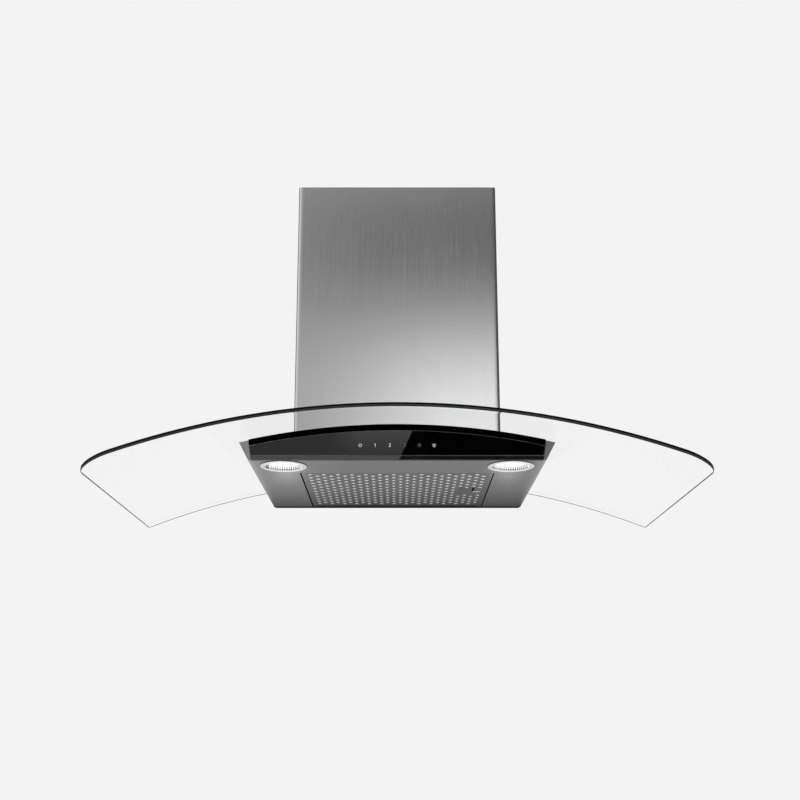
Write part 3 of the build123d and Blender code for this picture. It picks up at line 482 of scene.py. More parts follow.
def new_group(name: str, inputs: dict[str, tuple[str, object]], outputs: dict[str, str]
              ) -> tuple[Wiring, bpy.types.bpy_prop_collection, bpy.types.Node]:
    """An empty node group with named sockets.

    Args:
        name: the group's name.
        inputs: socket name to its kind and default value.
        outputs: socket name to its kind.

    Returns:
        The group's wiring, what it is given, and the node that takes its results.
    """
    tree = bpy.data.node_groups.new(name, "ShaderNodeTree")
    for label, (kind, value) in inputs.items():
        socket = tree.interface.new_socket(label, in_out="INPUT", socket_type="NodeSocket" + kind)
        if value is not None:
            socket.default_value = value
    for label, kind in outputs.items():
        tree.interface.new_socket(label, in_out="OUTPUT", socket_type="NodeSocket" + kind)
    wire = Wiring(tree)
    return wire, wire.add("NodeGroupInput").outputs, wire.add("NodeGroupOutput")


def grain_group() -> bpy.types.NodeTree:
    """Brushing: two noises drawn out along one axis, coarse streaks under fine scratches.

    Returns:
        The node group.
    """
    wire, given, result = new_group(
        "brushed_grain",
        {"Vector": ("Vector", None), "Stretch": ("Vector", (1.0, 1.0, 1.0))},
        {"Streak": "Float", "Height": "Float"})
    lines = wire.add("Mapping", {"Vector": given["Vector"], "Scale": given["Stretch"]}).outputs[0]
    fine = wire.add("TexNoise", {"Vector": lines, "Scale": 2600.0, "Detail": 3.0}).outputs[0]
    coarse = wire.add("TexNoise", {"Vector": lines, "Scale": 420.0, "Detail": 4.0,
                                   "Roughness": 0.7}).outputs[0]
    both = wire.maths("ADD", wire.maths("MULTIPLY", fine, 0.55),
                      wire.maths("MULTIPLY", coarse, 0.45))
    wire.feed(result, {"Height": both, "Streak": wire.spread(both, 0.38, 0.62)})
    return wire.tree


def handling_group() -> bpy.types.NodeTree:
    """Faint cloudy handling marks, and the odd fine rub where they are strongest.

    Returns:
        The node group.
    """
    wire, given, result = new_group(
        "handling_marks", {"Vector": ("Vector", None), "Scale": ("Float", 6.0)},
        {"Cloud": "Float", "Rub": "Float"})
    cloud = wire.add("TexNoise", {"Vector": given["Vector"], "Scale": given["Scale"],
                                  "Detail": 5.0, "Roughness": 0.6, "Distortion": 0.4}).outputs[0]
    rub = wire.add("TexNoise", {"Vector": given["Vector"], "Scale": 90.0, "Detail": 6.0})
    strong = wire.spread(cloud, 0.5, 0.75)
    wire.feed(result, {"Cloud": wire.spread(cloud, 0.3, 0.7),
                       "Rub": wire.maths("MULTIPLY", strong, rub.outputs[0])})
    return wire.tree


def skin_group() -> bpy.types.NodeTree:
    """Fine moulded skin: small rounded cells over a soft noise.

    Returns:
        The node group.
    """
    wire, given, result = new_group(
        "moulded_skin", {"Vector": ("Vector", None), "Scale": ("Float", 900.0)},
        {"Height": "Float", "Value": "Float"})
    cells = wire.add("TexVoronoi", {"Vector": given["Vector"], "Scale": given["Scale"]},
                     feature="SMOOTH_F1")
    soft = wire.add("TexNoise", {"Vector": given["Vector"], "Scale": 60.0, "Detail": 4.0})
    wire.feed(result, {"Height": cells.outputs["Distance"],
                       "Value": wire.spread(soft.outputs[0], 0.35, 0.65)})
    return wire.tree


class Effects:
    """The shared effects, each built when it is first asked for."""

    makers = {"grain": grain_group, "handling": handling_group, "skin": skin_group}
    built: dict[str, bpy.types.NodeTree] = {}

    @classmethod
    def get(cls, name: str) -> bpy.types.NodeTree:
        """The effect of that name.

        Args:
            name: the effect's name.

        Returns:
            Its node group.
        """
        if name not in cls.built:
            cls.built[name] = cls.makers[name]()
        return cls.built[name]


@dataclass(frozen=True)
class Finish:
    """A named finish. Each kind says how it feeds the material's one Principled shader."""

    name: str

    def build(self) -> bpy.types.Material:
        """The material, with the piece's own coordinates at hand.

        Returns:
            The material.
        """
        material = bpy.data.materials.new(self.name)
        material.use_nodes = True
        wire = Wiring(material.node_tree)
        place = wire.add("TexCoord").outputs["Object"]
        wire.feed(material.node_tree.nodes["Principled BSDF"], self.inputs(wire, place))
        return material

    def inputs(self, wire: Wiring, place: bpy.types.NodeSocket) -> dict[str, object]:
        """What feeds the shader.

        Args:
            wire: the material's wiring.
            place: where a point of the piece is.

        Returns:
            The shader's socket names to values or to outputs of other nodes.
        """
        raise NotImplementedError


class Brushing(Enum):
    """Which way sheet is brushed, as the stretch of its grain along X, Y and Z."""

    UPRIGHT = (1.0, 1.0, 0.012)
    ACROSS = (0.012, 1.0, 1.0)


@dataclass(frozen=True)
class BrushedSteel(Finish):
    """Stainless sheet with a satin brushed grain."""

    colour: float = 0.56
    roughness: float = 0.17
    brushing: Brushing = Brushing.UPRIGHT
    anisotropy: float = 0.3
    contrast: float = 0.014
    relief: float = 0.013
    relief_depth: float = 0.00004
    roughness_swing: float = 0.02

    def inputs(self, wire: Wiring, place: bpy.types.NodeSocket) -> dict[str, object]:
        """Streaks along the grain, which also draws out what the sheet mirrors.

        Args:
            wire: the material's wiring.
            place: where a point of the piece is.

        Returns:
            The shader's socket names to what feeds them.
        """
        grain = wire.effect("grain", {"Vector": place, "Stretch": self.brushing.value})
        cloud = wire.effect("handling", {"Vector": place})["Cloud"]
        dull, bright = self.colour * (1 - self.contrast), self.colour * (1 + self.contrast)
        rough = wire.spread(grain["Streak"], 0.0, 1.0, self.roughness - self.roughness_swing,
                            self.roughness + self.roughness_swing)
        fed = {
            "Base Color": wire.blend(grain["Streak"], tint(dull, dull, dull * 1.01),
                                     tint(bright, bright, bright * 1.005)),
            "Roughness": wire.maths("ADD", rough,
                                    wire.maths("MULTIPLY", cloud, self.roughness_swing)),
            "Metallic": 1.0,
            "Anisotropic": self.anisotropy,
        }
        if self.brushing is Brushing.UPRIGHT:
            along = wire.add("Tangent", direction_type="RADIAL", axis="Z")
        else:
            along = wire.add("Tangent", direction_type="UV_MAP", uv_map="UVMap")
            fed["Anisotropic Rotation"] = 0.25
        fed["Tangent"] = along.outputs[0]
        if self.relief:
            fed["Normal"] = wire.bump(grain["Height"], self.relief, self.relief_depth)
        return fed


@dataclass(frozen=True)
class CoatedSteel(Finish):
    """Galvanised sheet with its spangle of flat crystals."""

    colour: float = 0.50
    roughness: float = 0.42
    crystal_scale: float = 85.0
    roughness_swing: float = 0.09

    def inputs(self, wire: Wiring, place: bpy.types.NodeSocket) -> dict[str, object]:
        """Crystals that differ in tone and gloss.

        Args:
            wire: the material's wiring.
            place: where a point of the piece is.

        Returns:
            The shader's socket names to what feeds them.
        """
        flakes = wire.add("TexVoronoi", {"Vector": place, "Scale": self.crystal_scale},
                          feature="F1")
        tone = wire.add("SeparateColor", {0: flakes.outputs["Color"]}).outputs
        rub = wire.effect("handling", {"Vector": place})["Rub"]
        cool = (self.colour, self.colour * 1.01, self.colour * 1.03)
        rough = wire.spread(tone[1], 0.0, 1.0, self.roughness - self.roughness_swing,
                            self.roughness + self.roughness_swing)
        return {
            "Base Color": wire.blend(tone[0], shade(cool, 0.86), shade(cool, 1.1)),
            "Roughness": wire.maths("ADD", rough, wire.maths("MULTIPLY", rub, 0.1)),
            "Metallic": 1.0,
        }


@dataclass(frozen=True)
class PlainMetal(Finish):
    """Cast, turned or plated metal with a fine grain of its own."""

    colour: tuple[float, float, float]
    roughness: float
    metallic: float = 1.0
    grain_scale: float = 700.0
    relief: float = 0.15
    relief_depth: float = 0.00003

    def inputs(self, wire: Wiring, place: bpy.types.NodeSocket) -> dict[str, object]:
        """Specks of colour and relief, and a gloss that handling clouds.

        Args:
            wire: the material's wiring.
            place: where a point of the piece is.

        Returns:
            The shader's socket names to what feeds them.
        """
        speck = wire.add("TexNoise", {"Vector": place, "Scale": self.grain_scale,
                                      "Detail": 5.0}).outputs[0]
        cloud = wire.effect("handling", {"Vector": place})["Cloud"]
        return {
            "Base Color": wire.blend(wire.spread(speck, 0.35, 0.65), shade(self.colour, 0.9),
                                     shade(self.colour, 1.06)),
            "Roughness": wire.spread(cloud, 0.0, 1.0, self.roughness * 0.85,
                                     self.roughness * 1.15),
            "Metallic": self.metallic,
            "Normal": wire.bump(speck, self.relief, self.relief_depth),
        }


@dataclass(frozen=True)
class Moulded(Finish):
    """Plastic or rubber with a fine moulded skin."""

    colour: tuple[float, float, float]
    roughness: float
    skin_scale: float = 900.0
    specular: float = 0.5
    roughness_swing: float = 0.05
    relief: float = 0.2
    relief_depth: float = 0.00004

    def inputs(self, wire: Wiring, place: bpy.types.NodeSocket) -> dict[str, object]:
        """The skin's cells as relief, and its soft noise in colour and gloss.

        Args:
            wire: the material's wiring.
            place: where a point of the piece is.

        Returns:
            The shader's socket names to what feeds them.
        """
        skin = wire.effect("skin", {"Vector": place, "Scale": self.skin_scale})
        return {
            "Base Color": wire.blend(skin["Value"], shade(self.colour, 0.9),
                                     shade(self.colour, 1.08)),
            "Roughness": wire.spread(skin["Value"], 0.0, 1.0,
                                     self.roughness - self.roughness_swing,
                                     self.roughness + self.roughness_swing),
            "Specular IOR Level": self.specular,
            "Normal": wire.bump(skin["Height"], self.relief, self.relief_depth),
        }


@dataclass(frozen=True)
class BlackGloss(Finish):
    """Black glass or lacquer: no light gets out of it, only its polished face shows."""

    level: float = 0.0012
    roughness: float = 0.006
    ior: float = 1.5
    roughness_swing: float = 0.006
    marks_scale: float = 14.0

    def inputs(self, wire: Wiring, place: bpy.types.NodeSocket) -> dict[str, object]:
        """A trace of handling in colour and gloss.

        Args:
            wire: the material's wiring.
            place: where a point of the piece is.

        Returns:
            The shader's socket names to what feeds them.
        """
        marks = wire.effect("handling", {"Vector": place, "Scale": self.marks_scale})
        return {
            "Base Color": wire.blend(marks["Rub"], grey(self.level), grey(self.level * 2.5)),
            "Roughness": wire.spread(marks["Cloud"], 0.0, 1.0, self.roughness,
                                     self.roughness + self.roughness_swing),
            "IOR": self.ior,
        }


@dataclass(frozen=True)
class ClearGlass(Finish):
    """Clear polished glass, with a mirroring coat on its outer side where one is given."""

    colour: tuple[float, float, float] = (0.994, 0.999, 0.997)
    polish: float = 0.0
    bend: float = 1.05
    film: float = 0.985
    marks_scale: float = 5.0

    def inputs(self, wire: Wiring, place: bpy.types.NodeSocket) -> dict[str, object]:
        """A film of handling, which takes a trace of light out of the glass.

        Args:
            wire: the material's wiring.
            place: where a point of the piece is.

        Returns:
            The shader's socket names to what feeds them.
        """
        marks = wire.effect("handling", {"Vector": place, "Scale": self.marks_scale})
        fed = {
            "Base Color": wire.blend(wire.spread(marks["Rub"], 0.3, 0.9),
                                     shade(self.colour, 1.0), shade(self.colour, self.film)),
            "Roughness": 0.0, "Transmission Weight": 1.0, "IOR": self.bend,
            "Coat Roughness": 0.0,
        }
        if self.polish:
            inside = wire.add("NewGeometry").outputs["Backfacing"]
            fed["Coat Weight"] = wire.spread(inside, 0.0, 1.0, self.polish, 0.0)
        return fed


@dataclass(frozen=True)
class GroundEdge(Finish):
    """Polished edge of the pane, painted dark as shade where light leaves the glass elsewhere.

    The lower part of the edge is painted paler than the upper part, a painted reflection of the
    floor. Seen from inside the glass, the edge is clear above the share of its height that stays
    dark.
    """

    upper: float = 0.0
    lower: float = 0.028
    roughness: float = 0.12
    specular: float = 0.1
    dark_inside: float = 1.0
    pale_up_to: float = 0.42
    dark_from: float = 0.55
    fade: float = 0.0002

    def inputs(self, wire: Wiring, place: bpy.types.NodeSocket) -> dict[str, object]:
        """Tone by the height in the glass: the distance to the bend's axis less its radius.

        Args:
            wire: the material's wiring.
            place: where a point of the piece is.

        Returns:
            The shader's socket names to what feeds them.
        """
        across, _, up = wire.add("SeparateXYZ", {0: place}).outputs
        over_axis = wire.maths("SUBTRACT", up, BEND_AXIS_Z)
        square = wire.maths("ADD", wire.maths("MULTIPLY", across, across),
                            wire.maths("MULTIPLY", over_axis, over_axis))
        rise = wire.maths("SUBTRACT", wire.maths("SQRT", square), BEND_RADIUS)
        share = wire.spread(rise, self.pale_up_to * PANE, self.dark_from * PANE)
        fed = {
            "Base Color": wire.blend(share, grey(self.lower), grey(self.upper)),
            "Roughness": self.roughness, "IOR": 1.5, "Specular IOR Level": self.specular,
        }
        if self.dark_inside < 1.0:
            inside = wire.add("NewGeometry").outputs["Backfacing"]
            border = self.dark_inside * PANE
            clear = wire.spread(rise, border, border + self.fade)
            fed["Alpha"] = wire.maths("SUBTRACT", 1.0, wire.maths("MULTIPLY", inside, clear))
        return fed


@dataclass(frozen=True)
class Lit(Finish):
    """A surface that glows, by the named attribute of its faces where there is one."""

    colour: tuple[float, float, float] = (1.0, 1.0, 1.0)
    strength: float = 1.0
    attribute: str = ""
    base: float = 0.3
    darkest: float = 0.0

    def inputs(self, wire: Wiring, place: bpy.types.NodeSocket) -> dict[str, object]:
        """A glow between the darkest grey and the full colour.

        Args:
            wire: the material's wiring.
            place: where a point of the piece is.

        Returns:
            The shader's socket names to what feeds them.
        """
        if self.attribute:
            share = wire.add("Attribute", attribute_name=self.attribute).outputs["Fac"]
        else:
            speck = wire.add("TexNoise", {"Vector": place, "Scale": 400.0}).outputs[0]
            share = wire.spread(speck, 0.2, 0.8, 0.85, 1.0)
        return {
            "Base Color": grey(self.base), "Roughness": 0.3, "Specular IOR Level": 0.2,
            "Emission Color": wire.blend(share, grey(self.darkest), tint(*self.colour)),
            "Emission Strength": self.strength,
        }


@dataclass(frozen=True)
class ExpandedMesh(Finish):
    """Layers of expanded aluminium mesh: slanted strands, with the gaps between them painted near
    black as shade.
    """

    pitch: float = 0.0045
    slant: float = 0.62

    def inputs(self, wire: Wiring, place: bpy.types.NodeSocket) -> dict[str, object]:
        """Strands from two waves that cross at a slant, each raised over the gaps.

        Args:
            wire: the material's wiring.
            place: where a point of the piece is.

        Returns:
            The shader's socket names to what feeds them.
        """
        strands = []
        for turn in (self.slant, -self.slant):
            lay = wire.add("Mapping", {"Vector": place, "Rotation": (0.0, 0.0, turn)})
            wave = wire.add("TexWave", {"Vector": lay.outputs[0], "Scale": 0.314 / self.pitch,
                                        "Distortion": 1.2, "Detail": 1.0}, wave_profile="SIN")
            strands.append(wire.spread(wave.outputs["Fac"], 0.45, 0.8))
        strand = wire.maths("MAXIMUM", *strands)
        return {
            "Base Color": wire.blend(strand, grey(0.05), grey(0.72)),
            "Metallic": wire.spread(strand, 0.0, 1.0, 0.2, 0.9),
            "Roughness": 0.35,
            "Normal": wire.bump(strand, 0.8, 0.0006),
        }


@dataclass(frozen=True)
class FadingFloor(Finish):
    """Matt pale floor that turns clear towards its rim."""

    radius: float

    def inputs(self, wire: Wiring, place: bpy.types.NodeSocket) -> dict[str, object]:
        """Full under the hood, and clear at the radius.

        Args:
            wire: the material's wiring.
            place: where a point of the piece is.

        Returns:
            The shader's socket names to what feeds them.
        """
        across, deep, _ = wire.add("SeparateXYZ", {0: place}).outputs
        square = wire.maths("ADD", wire.maths("MULTIPLY", across, across),
                            wire.maths("MULTIPLY", deep, deep))
        reach = wire.maths("SQRT", square)
        return {
            "Base Color": grey(0.86), "Roughness": 0.9, "Specular IOR Level": 0.1,
            "Alpha": wire.spread(reach, 0.45 * self.radius, self.radius, 1.0, 0.0),
        }


@dataclass(frozen=True)
class CardGlow(Finish):
    """A card's glow, by the level written on its points."""

    def inputs(self, wire: Wiring, place: bpy.types.NodeSocket) -> dict[str, object]:
        """Black but for the glow.

        Args:
            wire: the material's wiring.
            place: where a point of the piece is; not used.

        Returns:
            The shader's socket names to what feeds them.
        """
        level = wire.add("Attribute", attribute_name="level").outputs["Color"]
        return {"Base Color": grey(0.0), "Roughness": 1.0, "Specular IOR Level": 0.0,
                "Emission Color": level, "Emission Strength": 1.0}


@dataclass
class Palette:
    """Every finish of the hood, built once and found by its name."""

    built: dict[str, bpy.types.Material] = field(default_factory=dict)

    def mix(self) -> None:
        """Builds the finishes."""
        finishes = {
            "brushed_steel": BrushedSteel("brushed_steel_upright"),
            "body_steel": BrushedSteel("brushed_steel_across", 0.52, 0.16, Brushing.ACROSS, 0.2,
                                       0.012, 0.0),
            # painted shade: a darker copy of the body's steel for the shell's front rim
            "shaded_rim_steel": BrushedSteel("shaded_rim_steel", 0.26, 0.20, Brushing.ACROSS, 0.2, 0.012, 0.0),
            # painted shade: the tray's steel is set darker than the body's, for the shade among
            # the collars
            "filter_steel": BrushedSteel("filter_steel", 0.37, 0.17, Brushing.ACROSS, 0.2,
                                         0.012, 0.0),
            # painted highlight: steel far brighter than the tray's, for the hole collars and the
            # pull's lip
            "collar_highlight_steel": BrushedSteel("collar_highlight_steel", 0.93, 0.22, Brushing.ACROSS, 0.0,
                                         0.02, 0.0),
            "galvanised_steel": CoatedSteel("galvanised_steel"),
            "cast_aluminium": PlainMetal("cast_aluminium", (0.56, 0.56, 0.57), 0.42),
            # painted shade: dark grey for the inside of the filter's holes
            "painted_hole_shade": PlainMetal("painted_hole_shade", (0.20, 0.20, 0.20), 0.45, 0.8),
            "aluminium_mesh": ExpandedMesh("aluminium_mesh"),
            "frame_aluminium": PlainMetal("frame_aluminium", (0.60, 0.60, 0.61), 0.34),
            "clear_glass": ClearGlass("clear_glass"),
            "glass_top": ClearGlass("clear_glass_top", polish=1.0),
            # painted shade and painted reflection: the pane's edges are dark, and paler low down
            # where the floor shows
            "front_edge": GroundEdge("pane_front_edge"),
            "side_edge": GroundEdge("pane_side_edge", 0.05, 0.09, 0.2, 0.2, 0.6),
            "rear_edge": GroundEdge("pane_rear_edge", 0.01, 0.02, 0.3, 0.1, 0.33),
            "black_glass": BlackGloss("black_glass"),
            "black_gloss": BlackGloss("black_gloss", 0.008, 0.015, 1.68),
            # painted highlight: grey rounding on the black glass and rail edges, for the light
            # line along them
            "edge_highlight_grey": PlainMetal("edge_highlight_grey", (0.11, 0.11, 0.11), 0.22, 0.6),
            "black_rubber": Moulded("black_rubber", (0.003, 0.003, 0.003), 0.62, specular=0.12),
            "seal_rubber": Moulded("seal_rubber", (0.0006, 0.0006, 0.0006), 0.8, specular=0.0),
            "black_plastic": Moulded("black_plastic", (0.024, 0.024, 0.025), 0.48),
            "grey_plastic": Moulded("grey_plastic", (0.30, 0.31, 0.32), 0.50),
            "white_plastic": Moulded("white_plastic", (0.74, 0.74, 0.72), 0.42),
            "motor_grey": PlainMetal("motor_grey", (0.20, 0.21, 0.22), 0.40, 0.35),
            "magnet_grey": Moulded("magnet_grey", (0.10, 0.10, 0.11), 0.55, 1600.0),
            "board_green": Moulded("board_green", (0.02, 0.13, 0.05), 0.28, 400.0),
            "zinc_screw": PlainMetal("zinc_screw", (0.62, 0.63, 0.66), 0.28),
            "lamp_glass": ClearGlass("lamp_glass", (0.99, 0.99, 0.985)),
            # painted reflection: the cup's facets glow as if they mirrored the lamp
            "lamp_mirror": Lit("lamp_mirror", (1.0, 0.995, 0.985), 1.0, "glint", 0.3, 0.05),
            # painted light: the lamp ring glows, less towards its sides, with painted dark dashes
            # on its inner wall
            "lamp_ring": Lit("lamp_ring", (1.0, 1.0, 0.99), 0.9, "glint", 0.08, 0.02),
            # painted shade: dark grey for the lamp's sleeve and the ring's outer flank
            "lamp_edge_shade": PlainMetal("lamp_edge_shade", (0.09, 0.09, 0.09), 0.3, 0.6),
            "mark_bright": Lit("mark_bright", (0.88, 0.89, 0.90), 1.15, "", 0.02),
            "mark_dim": Lit("mark_dim", (0.24, 0.24, 0.25), 0.6, "", 0.01),
        }
        self.built = {name: finish.build() for name, finish in finishes.items()}

    def __getitem__(self, name: str) -> bpy.types.Material:
        """The finish of that name."""
        return self.built[name]

    def dress(self, name: str, *nodes: str) -> None:
        """Gives carried-over solids the finish of that name.

        Args:
            name: the finish.
            nodes: the solids.
        """
        for node in nodes:
            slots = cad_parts[node].data.materials
            slots.clear()
            slots.append(self.built[name])


# ---------------------------------------------------------------- sub-assemblies


@dataclass
class Canopy:
    """The bent pane, with its round front corners, polished edges and air opening.

    The opening is given by its width, its depth, how far its centre lies from the wall, and its
    corner radius. The edge counts as front edge over a share of the front corners, and as rear
    edge within a margin of the wall.
    """

    width: float = 0.898
    depth: float = 0.500
    front_corner: float = 0.050
    rear_corner: float = 0.002
    opening: tuple[float, float, float, float] = (0.250, 0.190, 0.120, 0.020)
    edge_round: float = 0.0012
    rings: int = 30
    side_steps: int = 40
    corner_steps: int = 14
    front_reach: float = 0.7
    rear_margin: float = 0.004

    def outline(self, inset: float) -> np.ndarray:
        """Outer outline in plan, drawn in by an inset.

        Args:
            inset: how far it is drawn in.

        Returns:
            Its points.
        """
        half = self.width / 2 - inset
        front, rear = self.front_corner - inset, max(self.rear_corner - inset, LEAST_CORNER)
        return rounded_outline((-half, -self.depth + inset), (half, -inset),
                               (front, front, rear, rear), self.side_steps,
                               self.corner_steps)

    def inner(self) -> np.ndarray:
        """Outline of the air opening in plan.

        Returns:
            Its points.
        """
        wide, deep, centre, corner = self.opening
        return rounded_outline((-wide / 2, -centre - deep / 2), (wide / 2, -centre + deep / 2),
                               (corner,) * 4, self.side_steps, self.corner_steps)

    def build(self, palette: Palette) -> None:
        """A closed profile carried round the outline.

        The profile runs from the opening over the lower face, round the edge and back over the
        upper face. A point of it is the opening's outline blended with the outer outline, lifted
        to the arc at its own height in the glass.

        Args:
            palette: the hood's finishes.
        """
        turn = np.linspace(-math.pi / 2, math.pi / 2, 7)
        under, over = turn[:4], turn[3:]
        soft = self.edge_round
        inset = soft * (1 - np.cos(np.concatenate([under, over])))
        rise = np.concatenate([soft * (1 + np.sin(under)), PANE - soft + soft * np.sin(over)])
        share = np.linspace(0, 1, self.rings)
        edge = np.stack([self.outline(i) for i in inset])
        lower = self.inner()[None] * (1 - share[:, None, None]) + edge[:1] * share[:, None, None]
        upper = lower[::-1]
        plan = np.concatenate([lower[:-1], edge, upper[1:]])
        height = np.concatenate([np.zeros(self.rings - 1), rise,
                                 np.full(self.rings - 1, PANE)])[:, None]
        points = np.concatenate(
            [plan, arch_height(plan[..., :1], BEND_RADIUS + height[..., None])], axis=-1)
        pane = grid_surface(points, round_rows=True, round_columns=True)
        faces = pane.faces[0]
        middle = points.reshape(-1, 3)[faces].mean(1)
        columns = points.shape[1]
        row = faces.min(1) // columns
        last = self.rings + len(inset) - 2
        joins_ends = faces.max(1) - faces.min(1) >= 3 * columns
        on_edge = (row >= self.rings - 1) & (row < last) & ~joins_ends
        front = on_edge & (middle[:, 1] < -self.depth + self.front_reach * self.front_corner)
        side = on_edge & ~front & (middle[:, 1] < -self.rear_margin)
        rear = on_edge & ~front & ~side
        top = (row >= last) & (row < last + self.rings - 2)
        below = ~(front | side | rear | top)
        surfaces = [Surface(pane.points, [faces[part]], slot)
                    for slot, part in enumerate((below, front, side, rear, top))]
        finishes = [palette[name] for name in
                    ("clear_glass", "front_edge", "side_edge", "rear_edge", "glass_top")]
        make_piece("glass_pane", surfaces, finishes, ROOT, ("glass_canopy",),
                   sharp=60.0)
        palette.dress("black_rubber", "glass_gasket", "collar_gasket", "screw_bushes")
        palette.dress("zinc_screw", "clamp_screws", "clamp_nuts")
        palette.dress("cast_aluminium", "clamp_frame")


@dataclass(frozen=True)
class Layer:
    """One layer of the fascia, which fills the leaning front between two lines over x."""

    node: str
    low: Line
    high: Line
    finish: str
    edge: str
    record_slot: str
    rounding: float
    recess: float = 0.0


def level_line(height: float) -> Line:
    """The same height over the underside at every x."""
    return lambda x: np.full_like(x, height)


def arch_line(radius: float) -> Line:
    """Height over the underside of the arc of that radius about the pane's bend axis."""
    return lambda x: arch_height(x, radius) - UNDERSIDE


@dataclass
class Fascia:
    """Rail, control glass and seal strip in the body's leaning front, and the touch marks.

    The marks stand proud of the glass and are sunk into it by a hair, and two are printed dim.
    """

    half_width: float = 0.2187
    end_lean: float = math.radians(5.4)
    thickness: float = 0.004
    rail: float = 0.006
    seal: float = 0.0084
    mark_height: float = 0.0200
    mark_pitch: float = 0.0220
    mark_size: float = 0.0053
    stroke: float = 0.00054
    mark_proud: float = 0.00006
    mark_sunk: float = 0.00004
    dim_marks: tuple[int, ...] = (3, 4)
    columns: int = 64
    rows: int = 3

    def face(self, layer: Layer) -> tuple[np.ndarray, np.ndarray]:
        """Front and back grids of one layer of the fascia.

        A point stands on the leaning front at a share of the way between the layer's lower and
        upper lines, and its x is a share of the half width there, which grows with the height.
        Each of the two follows from the other, so they are worked out in turn until they rest.

        Args:
            layer: the layer, whose front face stands back by its recess.

        Returns:
            The two grids.
        """
        u, v = np.meshgrid(np.linspace(-1, 1, self.columns), np.linspace(0, 1, self.rows))
        h = np.full(u.shape, self.mark_height)
        for _ in range(6):
            x = u * (self.half_width + h * math.tan(self.end_lean))
            h = layer.low(x) * (1 - v) + layer.high(x) * v
        y = -(BODY_DEPTH + h * math.tan(FRONT_LEAN))
        front = np.stack([x, y + layer.recess, h + UNDERSIDE], -1)
        behind = np.array([0, self.thickness / math.cos(FRONT_LEAN) - layer.recess, 0])
        return front, front + behind

    def on_face(self, marks: np.ndarray, proud: float) -> np.ndarray:
        """Points over the control glass's plane.

        Args:
            marks: pairs of (across, up the slope), measured from the row of marks.
            proud: how far the points stand off the glass.

        Returns:
            The points in space.
        """
        across, up = marks[..., 0], marks[..., 1]
        h = self.mark_height + up * math.cos(FRONT_LEAN)
        y = -(BODY_DEPTH + h * math.tan(FRONT_LEAN)) - proud * math.cos(FRONT_LEAN)
        return np.stack([across, y, h + UNDERSIDE - proud * math.sin(FRONT_LEAN)], -1)

    def ribbon(self, path: np.ndarray) -> list[Surface]:
        """Flat stroke of even width along a path, raised a hair off the glass.

        Its two edges are the path moved half a stroke to each side of its direction.

        Args:
            path: pairs of (across, up the slope).

        Returns:
            The stroke's surfaces.
        """
        along = np.gradient(path, axis=0)
        along /= np.linalg.norm(along, axis=1, keepdims=True)
        side = np.stack([-along[:, 1], along[:, 0]], -1) * self.stroke / 2
        plan = np.stack([path + side, path - side])
        return slab(self.on_face(plan, self.mark_proud), self.on_face(plan, -self.mark_sunk))

    def glyphs(self) -> list[list[np.ndarray]]:
        """Strokes of the six marks in units of half a mark: ring, 1, 2, 3, clock and lamp.

        Returns:
            The strokes of each mark, as paths of points.
        """
        def arc(cx: float, cy: float, r: float, start: float, end: float) -> np.ndarray:
            """Points of a circle's arc, angles in degrees."""
            a = np.radians(np.linspace(start, end, 22))
            return np.stack([cx + r * np.cos(a), cy + r * np.sin(a)], -1)

        def line(*points: tuple[float, float]) -> np.ndarray:
            """Points of a line through its corners."""
            return np.array(points)

        rays = [line((1.5 * math.cos(a), 1.5 * math.sin(a) - 0.4),
                     (0.95 * math.cos(a), 0.95 * math.sin(a) - 0.4))
                for a in np.radians((40, 90, 140))]
        return [
            [arc(0, -0.15, 0.80, 108, 432), line((0, 1.0), (0, 0.45))],
            [line((-0.35, 0.62), (0.08, 0.95), (0.08, 0.94)), line((0.08, 1.0), (0.08, -1.0))],
            [np.concatenate([arc(0, 0.50, 0.42, 165, -40), line((-0.45, -0.92))]),
             line((-0.55, -0.92), (0.55, -0.92))],
            [arc(-0.05, 0.45, 0.48, 140, -75), arc(-0.05, -0.46, 0.52, 80, -140)],
            [arc(0, 0, 0.85, 0, 360), line((0, 0.55), (0, 0.0), (0.4, -0.2))],
            [arc(0, -0.4, 0.55, 0, 360), *rays],
        ]

    def build(self, palette: Palette) -> None:
        """The three layers and the marks.

        Args:
            palette: the hood's finishes.
        """
        bottom, rail = level_line(0.0), level_line(self.rail)
        glass, pane = arch_line(BEND_RADIUS - self.seal), arch_line(BEND_RADIUS)
        layers = (
            Layer("fascia_rail", bottom, rail, "black_gloss", "edge_highlight_grey", "black_gloss",
                  0.0005),
            Layer("fascia_panel", rail, glass, "black_glass", "edge_highlight_grey", "black_glass",
                  0.0006),
            Layer("fascia_seal", glass, pane, "seal_rubber", "seal_rubber", "black_rubber",
                  0.0008, 0.0006),
        )
        for layer in layers:
            piece = make_piece(layer.node + "_dressed", slab(*self.face(layer)),
                               [palette[layer.finish], palette[layer.edge]], ROOT,
                               (layer.node,))
            # The rounding takes the edge finish, which on rail and panel is grey as a painted
            # highlight line.
            bevel(piece, layer.rounding, slot=1)
        half, glyphs = self.mark_size / 2, self.glyphs()
        for number, strokes in enumerate(glyphs):
            shift = np.array([(number - (len(glyphs) - 1) / 2) * self.mark_pitch, 0.0])
            surfaces = [s for path in strokes for s in self.ribbon(path * half + shift)]
            finish = "mark_dim" if number in self.dim_marks else "mark_bright"
            make_piece(f"touch_mark_{number + 1}", surfaces, [palette[finish]], ROOT)


